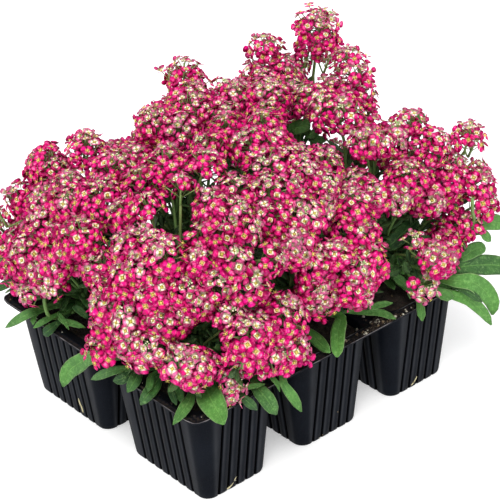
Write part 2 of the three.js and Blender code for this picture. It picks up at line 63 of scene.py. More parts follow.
# ----------------------------------------------------------------- dimensions
PITCH_X, PITCH_Y = 60.0, 78.3
RIM_Z, SHEET, FLANGE_R = 54.3, 0.6, 6.3
MARGIN_X, MARGIN_Y, TAPER = 5.1, 4.3, 5.9
TOP_R, BOTTOM_R = 10.2, 5.9
WALL, DRAIN_R = 2.0, 4.0
BEAD_X, BEAD_Y, BEAD_R = 27.0, 33.55, 3.2
SOIL_Z = 50.3
GROOVES_X = (-9.2, -3.6, 2.0, 7.6, 13.2)
GROOVES_Y = (-18.65, -12.6, -6.55, -0.5, 5.55, 11.6, 17.65)
GROOVE_D = 1.45
CELLS = ((0, 0), (1, 0), (2, 0), (0, 1), (1, 1), (2, 1))
NAMES = ("front_left", "front_middle", "front_right", "rear_left", "rear_middle", "rear_right")
GOLDEN = math.pi * (3 - math.sqrt(5))
UP = np.array([0.0, 0.0, 1.0])

# Flower heads: x, y, z of the head's apex, plant, group, form (0 rounded,
# 1 tall and narrow, 2 low and pale), radius, length below the dome, lean.
HEADS = (
    (112.9, 136.9, 153.8, 4, 3, 1, 8.3, 9.9, 0.29),
    (87.8, 97.7, 155.9, 4, 1, 0, 10.0, 5.5, 0.58),
    (62.3, 99.2, 155.0, 4, 1, 0, 9.2, 9.6, 0.33),
    (38.6, 118.8, 144.7, 3, 4, 1, 9.4, 5.0, 0.27),
    (28.1, 144.1, 130.4, 3, 4, 1, 9.9, 17.5, 0.23),
    (7.0, 145.0, 117.3, 3, 6, 0, 7.1, 7.2, 0.55),
    (7.3, 120.1, 124.0, 3, 2, 0, 10.0, 6.0, 0.42),
    (7.6, 95.1, 133.9, 3, 2, 0, 9.2, 8.6, 0.29),
    (32.8, 88.8, 147.5, 3, 2, 0, 10.0, 6.0, 0.26),
    (18.9, 83.4, 140.8, 3, 2, 0, 11.5, 7.3, 0.10),
    (48.5, 74.5, 150.4, 0, 4, 0, 11.1, 6.1, 0.65),
    (64.9, 65.7, 153.3, 1, 6, 0, 8.3, 6.1, 0.41),
    (114.3, 98.6, 152.5, 4, 2, 0, 9.9, 4.6, 0.24),
    (87.8, 77.7, 152.3, 1, 5, 0, 10.0, 9.5, 0.42),
    (43.1, 30.1, 145.9, 0, 2, 0, 8.3, 7.3, 0.10),
    (24.0, 58.5, 141.5, 0, 4, 0, 8.3, 0.5, 0.23),
    (17.7, 70.2, 135.3, 0, 5, 0, 8.4, 5.0, 0.55),
    (58.4, 31.0, 146.8, 0, 2, 0, 10.0, 4.2, 0.14),
    (1.1, 92.3, 120.4, 3, 1, 0, 10.1, 3.0, 0.12),
    (3.0, 143.5, 95.3, 3, 6, 0, 10.1, 7.3, 0.58),
    (13.5, 50.5, 130.7, 0, 5, 0, 9.6, 6.0, 0.23),
    (38.6, 16.2, 137.3, 0, 2, 0, 6.8, 3.6, 0.42),
    (-7.9, 105.7, 97.9, 3, 1, 0, 7.7, 4.2, 0.62),
    (0.1, 67.9, 115.4, 0, 5, 0, 9.2, 6.1, 0.42),
    (2.3, 114.6, 118.2, 3, 1, 0, 9.4, 1.5, 0.42),
    (11.6, 30.1, 133.1, 0, 2, 0, 9.1, 6.0, 0.19),
    (2.6, 33.8, 113.2, 0, 6, 0, 9.3, 4.3, 0.44),
    (15.9, 17.8, 116.5, 0, 2, 0, 9.9, 8.2, 0.39),
    (-5.4, 43.7, 100.7, 0, 6, 2, 9.6, 6.0, 0.42),
    (-10.9, 57.7, 80.1, 0, 6, 0, 8.5, 0.5, 0.41),
    (-3.7, 26.7, 87.6, 0, 6, 2, 7.5, 7.8, 0.62),
    (4.1, 5.0, 85.0, 0, 1, 0, 8.2, 0.6, 0.50),
    (28.5, 3.6, 103.7, 0, 3, 2, 7.0, 0.6, 0.34),
    (37.6, 8.1, 127.2, 0, 2, 0, 9.3, 1.0, 0.33),
    (28.3, -6.5, 100.8, 0, 3, 0, 9.6, 4.5, 0.11),
    (28.0, -4.8, 81.8, 0, 1, 0, 6.8, 1.2, 0.85),
    (26.9, -0.2, 66.3, 0, 1, 2, 6.8, 0.5, 0.74),
    (-7.8, 54.6, 104.5, 0, 6, 0, 9.3, 6.1, 0.44),
    (9.0, 30.8, 118.0, 0, 6, 0, 9.9, 8.2, 0.18),
    (172.2, 99.6, 172.9, 5, 2, 1, 8.4, 5.5, 0.33),
    (152.4, 121.0, 158.9, 5, 5, 1, 7.7, 9.1, 0.30),
    (171.2, 80.2, 158.1, 2, 6, 0, 8.3, 2.5, 0.39),
    (157.7, 102.1, 147.1, 5, 2, 0, 10.0, 4.9, 0.66),
    (163.9, 64.1, 147.6, 2, 6, 0, 7.9, 3.6, 0.13),
    (122.7, 83.1, 154.4, 5, 1, 0, 10.0, 5.9, 0.20),
    (137.3, 74.7, 150.8, 2, 6, 0, 8.5, 0.5, 0.42),
    (99.7, 63.3, 154.7, 1, 5, 0, 10.0, 6.1, 0.40),
    (174.2, 35.5, 137.5, 2, 4, 1, 7.6, 6.3, 0.33),
    (189.1, 10.7, 133.3, 2, 4, 1, 8.0, 2.6, 0.18),
    (178.5, 18.0, 128.6, 2, 4, 0, 8.8, 5.5, 0.56),
    (139.4, 21.6, 141.2, 2, 1, 0, 6.8, 5.1, 0.47),
    (107.4, 22.6, 144.3, 1, 4, 0, 10.0, 4.2, 0.42),
    (149.6, 19.9, 137.0, 2, 1, 0, 7.5, 4.6, 0.60),
    (87.5, 32.9, 149.3, 1, 1, 0, 9.1, 5.7, 0.41),
    (116.2, 16.6, 130.8, 2, 1, 0, 9.3, 5.9, 0.24),
    (96.4, 11.9, 139.0, 1, 4, 0, 9.5, 6.3, 0.50),
    (116.9, 5.9, 126.1, 2, 1, 0, 6.9, 3.4, 0.50),
    (143.6, 8.4, 129.4, 2, 1, 0, 9.6, 5.3, 0.10),
    (192.0, 3.2, 109.0, 2, 3, 0, 9.5, 2.3, 0.51),
    (176.6, 12.0, 103.5, 2, 4, 0, 7.6, 0.5, 0.34),
    (180.2, 3.1, 89.2, 2, 3, 0, 7.3, 0.5, 0.10),
    (170.0, 5.8, 84.8, 2, 3, 0, 9.0, 0.5, 0.30),
    (61.4, 14.6, 138.2, 1, 2, 0, 8.9, 2.5, 0.33),
    (90.4, 6.7, 129.7, 1, 4, 0, 9.8, 0.5, 0.71),
    (107.6, 1.8, 118.2, 1, 4, 0, 11.5, 4.9, 0.36),
    (133.2, 2.9, 117.1, 2, 2, 0, 8.1, 0.9, 0.85),
    (63.2, -0.7, 122.3, 1, 2, 0, 8.6, 2.9, 0.57),
    (63.7, 0.2, 123.2, 1, 2, 0, 9.3, 10.1, 0.64),
    (84.5, -4.7, 116.1, 1, 3, 0, 6.8, 0.7, 0.15),
    (105.9, -5.7, 107.6, 1, 3, 0, 8.6, 11.4, 0.22),
    (152.8, -7.1, 85.1, 2, 2, 0, 8.6, 0.5, 0.45),
    (72.8, -6.3, 100.2, 1, 3, 0, 7.8, 2.2, 0.85),
    (94.2, -11.3, 97.5, 1, 3, 0, 11.4, 7.3, 0.59),
    (96.5, -10.0, 103.6, 1, 3, 0, 6.8, 0.5, 0.34),
    (135.3, -13.9, 73.9, 2, 2, 2, 6.8, 0.5, 0.85),
    (147.9, -10.0, 84.6, 2, 2, 0, 7.2, 0.5, 0.68),
    (36.0, -4.5, 99.0, 0, 3, 0, 8.6, 10.5, 0.18),
    (49.9, -7.6, 82.4, 0, 3, 0, 9.5, 6.0, 0.36),
    (39.9, 0.7, 116.6, 0, 3, 0, 8.3, 2.4, 0.33),
    (54.0, -10.1, 83.7, 0, 3, 2, 6.9, 0.9, 0.34),
    (75.5, -6.0, 90.3, 1, 3, 0, 9.3, 8.4, 0.77),
    (95.6, -13.4, 88.4, 1, 3, 2, 7.2, 0.7, 0.81),
    (36.7, -6.0, 75.5, 0, 3, 0, 6.8, 3.2, 0.78),
    (179.5, 10.4, 67.3, 2, 3, 0, 6.8, 0.5, 0.83),
    (11.1, 16.0, 105.2, 0, 1, 0, 6.8, 9.0, 0.66),
    (-1.8, 141.5, 78.9, 3, 6, 0, 9.8, 3.4, 0.66),
    (131.2, 40.7, 154.9, 2, 1, 0, 7.5, 7.4, 0.81),
    (42.0, 51.8, 147.0, 0, 4, 0, 6.8, 0.5, 0.35),
    (80.9, 17.5, 140.4, 1, 1, 0, 10.0, 6.0, 0.61),
    (0.6, 78.6, 104.4, 0, 5, 0, 6.3, 2.5, 0.85),
    (159.3, 51.7, 133.3, 2, 6, 0, 6.8, 10.8, 0.45),
    (26.7, 21.0, 123.2, 0, 2, 0, 6.8, 3.1, 0.40),
    (78.8, 52.2, 155.4, 1, 6, 0, 10.0, 3.2, 0.50),
    (2.7, 47.8, 120.2, 0, 5, 0, 10.0, 6.0, 0.39),
    (24.4, -7.1, 91.1, 0, 1, 0, 7.0, 1.6, 0.10),
    (2.7, 25.5, 100.8, 0, 6, 0, 9.9, 9.6, 0.62),
    (8.4, 7.1, 74.3, 0, 1, 0, 6.8, 7.7, 0.74),
    (92.3, 124.3, 144.2, 4, 3, 0, 10.0, 5.9, 0.57),
    (66.9, 21.0, 146.6, 1, 1, 0, 10.0, 5.5, 0.21),
    (33.9, -5.3, 89.9, 0, 3, 0, 9.2, 6.0, 0.66),
    (1.7, 79.3, 129.3, 0, 5, 0, 10.6, 4.0, 0.10),
    (49.1, 18.4, 143.4, 0, 2, 0, 8.9, 4.6, 0.43),
    (-7.5, 40.7, 80.9, 0, 6, 2, 11.1, 1.0, 0.85),
    (98.1, 50.6, 149.0, 1, 5, 0, 8.5, 3.3, 0.43),
    (-8.7, 115.4, 106.1, 3, 1, 0, 8.8, 6.0, 0.42),
    (179.8, 11.7, 114.9, 2, 4, 0, 9.7, 11.9, 0.35),
    (17.5, 106.1, 136.9, 3, 2, 0, 8.1, 3.4, 0.10),
    (54.7, -6.9, 98.8, 0, 3, 0, 11.5, 10.0, 0.42),
    (74.1, 3.7, 134.6, 1, 2, 0, 10.2, 6.5, 0.55),
    (170.0, 97.7, 164.3, 5, 2, 0, 9.4, 0.5, 0.11),
    (170.3, 22.8, 111.5, 2, 4, 0, 9.3, 3.6, 0.41),
    (145.7, 121.0, 146.4, 5, 5, 0, 8.6, 5.5, 0.85),
    (2.4, 16.8, 80.7, 0, 1, 0, 7.2, 3.3, 0.58),
    (46.1, -10.2, 77.1, 0, 3, 0, 8.6, 7.6, 0.85),
    (70.2, 88.7, 151.9, 4, 1, 0, 10.0, 5.9, 0.42),
    (192.8, -0.5, 97.6, 2, 3, 0, 7.9, 3.0, 0.65),
    (163.4, 81.3, 143.6, 5, 2, 0, 9.6, 2.0, 0.10),
    (27.1, 7.5, 117.4, 0, 2, 0, 8.0, 5.5, 0.49),
    (108.2, -7.2, 95.9, 1, 3, 0, 8.6, 3.9, 0.67),
    (46.5, 94.6, 145.0, 3, 2, 0, 10.0, 5.9, 0.12),
    (126.5, 22.7, 146.9, 2, 1, 0, 7.0, 3.8, 0.48),
    (33.5, 73.3, 145.6, 0, 4, 0, 9.7, 4.1, 0.33),
    (20.4, 142.9, 130.0, 3, 4, 0, 10.0, 1.1, 0.85),
    (15.6, 10.8, 110.0, 0, 1, 0, 6.8, 10.4, 0.58),
    (52.2, 10.7, 130.9, 0, 2, 0, 9.6, 10.1, 0.85),
    (-2.4, 93.6, 108.1, 3, 1, 0, 8.6, 5.0, 0.42),
    (59.0, -10.0, 74.7, 0, 3, 0, 7.7, 5.5, 0.80),
    (55.5, 48.4, 155.9, 0, 4, 0, 9.4, 0.5, 0.36),
    (107.9, 8.2, 129.6, 1, 4, 0, 10.5, 3.0, 0.12),
    (13.3, 38.3, 134.1, 0, 2, 0, 6.8, 3.6, 0.10),
    (138.9, -13.6, 94.2, 2, 2, 0, 6.9, 0.5, 0.23),
    (145.2, 6.1, 120.5, 2, 2, 0, 8.4, 5.6, 0.69),
    (-5.3, 38.8, 90.9, 0, 6, 0, 10.4, 8.6, 0.44),
    (157.4, 0.9, 107.5, 2, 2, 0, 6.8, 9.1, 0.77),
    (24.2, 19.7, 128.2, 0, 2, 0, 6.8, 5.7, 0.16),
    (74.5, -2.3, 115.6, 1, 2, 0, 9.3, 7.7, 0.37),
    (54.1, -2.1, 120.9, 0, 3, 0, 6.9, 0.5, 0.75),
    (13.0, 6.1, 80.5, 0, 1, 0, 6.8, 3.1, 0.45),
    (97.0, 32.0, 148.0, 1, 4, 0, 9.8, 6.0, 0.42),
    (6.7, 55.3, 127.5, 0, 5, 0, 8.6, 6.0, 0.42),
    (3.0, 12.1, 88.5, 0, 1, 2, 7.6, 3.9, 0.10),
    (6.0, 39.5, 125.5, 0, 5, 0, 10.0, 6.2, 0.30),
    (-10.8, 95.3, 91.0, 3, 1, 0, 6.8, 1.8, 0.85),
    (15.1, 113.8, 130.6, 3, 2, 0, 10.0, 6.1, 0.31),
    (128.7, 53.4, 155.6, 2, 1, 0, 9.7, 6.5, 0.85),
    (91.1, 47.6, 153.1, 1, 6, 0, 9.9, 1.9, 0.41),
    (181.5, 4.5, 83.9, 2, 3, 0, 8.8, 5.4, 0.85),
    (41.7, 14.2, 138.3, 0, 2, 0, 7.4, 0.5, 0.85),
    (167.2, 66.6, 154.8, 2, 6, 0, 7.2, 0.5, 0.10),
    (34.3, 26.6, 134.3, 0, 2, 0, 6.8, 5.2, 0.10),
    (105.7, 119.5, 148.7, 4, 2, 0, 9.4, 6.4, 0.61),
    (74.5, 32.4, 150.1, 1, 1, 0, 10.9, 4.9, 0.44),
    (-6.5, 58.8, 92.2, 0, 6, 0, 10.5, 8.5, 0.52),
    (167.8, 99.1, 161.8, 5, 2, 0, 8.3, 3.2, 0.10),
    (166.8, 91.6, 170.4, 5, 2, 0, 9.7, 0.8, 0.85),
    (90.9, 19.3, 146.0, 1, 4, 0, 10.0, 6.1, 0.58),
    (-2.4, 58.5, 111.2, 0, 5, 0, 10.0, 5.3, 0.42),
    (160.7, 143.4, 113.8, 5, 6, 0, 10.0, 6.1, 0.42),
    (176.5, 106.0, 123.9, 5, 3, 0, 6.8, 0.5, 0.43),
    (151.7, 45.5, 132.4, 2, 6, 0, 6.8, 5.9, 0.38),
    (171.4, 131.9, 91.9, 5, 4, 0, 7.1, 6.0, 0.40),
    (56.1, 167.5, 96.0, 3, 3, 0, 9.7, 6.6, 0.42),
    (151.8, 140.0, 127.1, 5, 5, 0, 10.0, 4.4, 0.42),
    (131.9, 159.9, 101.8, 5, 6, 0, 10.0, 6.0, 0.42),
    (99.8, 114.4, 144.6, 4, 2, 0, 10.0, 5.9, 0.42),
    (-3.8, 127.8, 95.7, 3, 6, 0, 9.1, 3.5, 0.30),
    (161.2, 154.4, 101.0, 5, 6, 0, 10.0, 5.9, 0.42),
    (123.5, 155.3, 124.7, 5, 6, 0, 10.0, 6.1, 0.42),
    (23.7, 156.3, 99.5, 3, 5, 0, 9.0, 5.0, 0.32),
    (142.9, 88.2, 145.2, 5, 1, 0, 11.4, 6.1, 0.84),
    (193.2, 72.6, 74.7, 2, 5, 0, 10.0, 3.2, 0.36),
    (31.8, 162.2, 85.5, 3, 5, 0, 10.0, 5.9, 0.42),
    (161.6, 125.9, 135.6, 5, 5, 0, 10.0, 5.9, 0.42),
    (184.8, 106.3, 87.2, 5, 3, 0, 10.0, 8.0, 0.47),
    (126.5, 137.2, 129.4, 5, 6, 0, 10.0, 3.5, 0.42),
    (37.4, 150.7, 123.1, 3, 4, 0, 6.8, 8.7, 0.34),
    (79.2, 150.9, 112.1, 4, 6, 0, 10.2, 6.8, 0.35),
    (113.0, 75.6, 150.5, 1, 5, 0, 9.2, 1.9, 0.22),
    (174.1, 124.5, 118.9, 5, 5, 0, 8.7, 0.5, 0.44),
    (102.4, 168.3, 82.9, 4, 4, 0, 10.0, 3.9, 0.42),
    (125.0, 106.6, 145.0, 5, 1, 0, 9.4, 6.0, 0.24),
    (90.6, 143.5, 121.9, 4, 3, 0, 10.0, 6.0, 0.34),
    (106.2, 159.4, 111.6, 4, 4, 0, 10.0, 6.0, 0.42),
    (81.4, 140.1, 122.1, 4, 6, 0, 9.9, 6.6, 0.60),
    (-7.3, 121.1, 78.0, 3, 6, 0, 7.4, 0.5, 0.64),
    (187.8, 129.0, 64.4, 5, 4, 0, 10.0, 6.1, 0.42),
    (178.9, 144.9, 78.1, 5, 4, 0, 9.3, 2.7, 0.59),
    (160.8, 19.5, 118.4, 2, 4, 0, 9.6, 4.7, 0.10),
    (141.5, 106.3, 143.2, 5, 1, 0, 10.0, 6.1, 0.62),
    (192.3, 83.5, 93.3, 5, 3, 0, 7.7, 0.5, 0.83),
    (38.2, 156.0, 114.0, 3, 3, 0, 10.0, 6.0, 0.42),
    (190.8, 38.5, 89.7, 2, 5, 0, 7.6, 0.5, 0.39),
    (125.5, 166.7, 76.0, 5, 6, 0, 6.8, 0.5, 0.43),
    (22.5, 128.3, 133.3, 3, 4, 0, 9.0, 5.2, 0.15),
    (48.8, 160.8, 103.0, 3, 3, 0, 9.7, 4.8, 0.35),
    (182.7, 54.6, 106.4, 2, 5, 0, 9.0, 0.5, 0.37),
    (186.0, 21.6, 76.6, 2, 3, 0, 8.2, 4.9, 0.14),
    (148.4, 61.3, 147.6, 2, 6, 0, 7.7, 0.5, 0.85),
    (68.7, 151.3, 106.4, 4, 6, 0, 10.0, 6.0, 0.68),
    (142.4, 170.9, 78.5, 5, 6, 0, 9.9, 0.5, 0.37),
    (77.2, 115.6, 143.8, 4, 1, 0, 10.0, 6.0, 0.27),
    (15.5, 156.5, 74.8, 3, 5, 0, 10.0, 6.1, 0.42),
    (175.5, 68.2, 117.7, 2, 5, 0, 6.9, 1.2, 0.26),
    (98.3, 86.3, 149.2, 4, 2, 0, 10.0, 5.9, 0.42),
    (50.2, 168.4, 69.8, 3, 3, 0, 10.0, 6.0, 0.27),
    (184.0, 35.6, 101.1, 2, 5, 0, 8.9, 3.8, 0.53),
    (76.0, 171.4, 89.2, 4, 5, 0, 8.8, 0.5, 0.42),
    (111.4, 145.4, 129.3, 4, 3, 0, 9.9, 6.1, 0.42),
    (147.6, 154.2, 107.3, 5, 6, 0, 10.0, 5.9, 0.42),
    (188.5, 120.5, 81.0, 5, 4, 0, 9.8, 6.4, 0.23),
    (179.0, 84.8, 127.3, 5, 3, 0, 8.7, 0.5, 0.79),
    (160.4, 155.5, 70.1, 5, 4, 0, 10.1, 7.5, 0.32),
    (178.4, 39.2, 114.3, 2, 5, 0, 9.6, 0.6, 0.39),
    (172.0, 144.5, 101.4, 5, 4, 0, 9.8, 5.5, 0.43),
    (65.6, 142.2, 119.0, 4, 6, 0, 10.0, 6.1, 0.42),
    (169.6, 114.8, 130.1, 5, 5, 0, 10.0, 4.6, 0.42),
    (48.4, 135.7, 137.3, 3, 4, 0, 6.8, 0.5, 0.34),
    (64.4, 139.9, 120.2, 4, 6, 0, 9.7, 8.8, 0.43),
    (88.2, 161.4, 103.6, 4, 5, 0, 10.0, 6.0, 0.42),
    (119.1, 169.1, 84.4, 4, 4, 0, 10.0, 4.2, 0.39),
    (192.4, 93.6, 74.0, 5, 3, 0, 10.0, 6.2, 0.42),
    (192.9, 56.9, 80.8, 2, 5, 0, 6.8, 0.6, 0.25),
    (182.6, 88.8, 94.4, 5, 3, 0, 7.7, 7.5, 0.26),
    (139.6, 153.2, 113.1, 5, 6, 0, 10.0, 5.9, 0.42),
    (6.7, 130.2, 104.8, 3, 6, 0, 8.6, 5.0, 0.42),
    (162.0, -2.5, 73.3, 2, 3, 0, 6.8, 1.7, 0.70),
    (90.6, 141.0, 129.0, 4, 3, 0, 10.1, 6.0, 0.55),
    (151.9, 72.3, 148.9, 2, 6, 0, 9.0, 0.5, 0.52),
    (185.0, 119.4, 111.1, 5, 3, 0, 8.7, 0.5, 0.43),
    (63.5, 139.4, 122.2, 4, 6, 0, 9.4, 6.7, 0.20),
    (186.6, 66.1, 81.3, 2, 5, 0, 11.3, 4.1, 0.35),
    (168.9, 100.5, 170.5, 5, 2, 0, 4.5, 2.5, 0.30),
    (176.0, 95.7, 171.8, 5, 2, 0, 5.0, 1.5, 0.30),
    (165.6, 63.6, 148.8, 2, 6, 0, 3.6, 2.0, 0.30),
    (164.3, 58.8, 141.0, 2, 6, 0, 4.2, 2.5, 0.30),
    (163.1, 56.3, 136.3, 2, 6, 0, 3.6, 1.5, 0.30),
    (155.4, 116.6, 156.3, 5, 5, 0, 4.8, 3.0, 0.30),
    (156.5, 105.3, 150.0, 5, 2, 0, 5.4, 2.0, 0.30),
    (105.7, 140.4, 150.6, 4, 3, 0, 3.2, 2.0, 0.30),
    (116.2, 129.6, 147.7, 4, 3, 0, 4.6, 2.0, 0.30),
    (181.5, 12.6, 118.0, 2, 4, 0, 5.0, 1.5, 0.30),
    (185.5, 12.4, 114.3, 2, 3, 0, 3.4, 1.5, 0.30),
    (191.5, 7.3, 114.0, 2, 3, 0, 2.4, 2.0, 0.30),
    (147.3, 19.6, 147.1, 2, 1, 0, 3.0, 1.5, 0.30),
    (134.5, -5.5, 100.2, 2, 2, 0, 4.4, 1.5, 0.30),
    (-0.8, 145.6, 109.5, 3, 6, 0, 3.0, 1.0, 0.30),
    (0.6, 149.5, 100.7, 3, 6, 0, 5.0, 3.5, 0.30),
    (-1.5, 146.1, 93.9, 3, 6, 0, 6.0, 3.5, 0.30),
    (-2.8, 146.2, 84.1, 3, 6, 0, 6.0, 3.5, 0.30),
    (22.9, -2.0, 59.6, 0, 1, 0, 2.6, 1.5, 0.80),
    (168.8, 89.4, 152.0, 5, 2, 0, 3.2, 1.5, 0.30),
    (161.9, 100.0, 148.8, 5, 2, 0, 2.8, 1.0, 0.30),
    (111.1, 102.6, 154.4, 4, 2, 0, 3.4, 1.4, 0.30),
    (187.5, 106.8, 90.8, 5, 3, 0, 3.2, 1.2, 0.30),
    (38.8, 120.6, 147.2, 3, 4, 0, 3.4, 1.2, 0.30),
    (193.8, 12.3, 122.9, 2, 3, 0, 3.0, 0.8, 0.30),
)

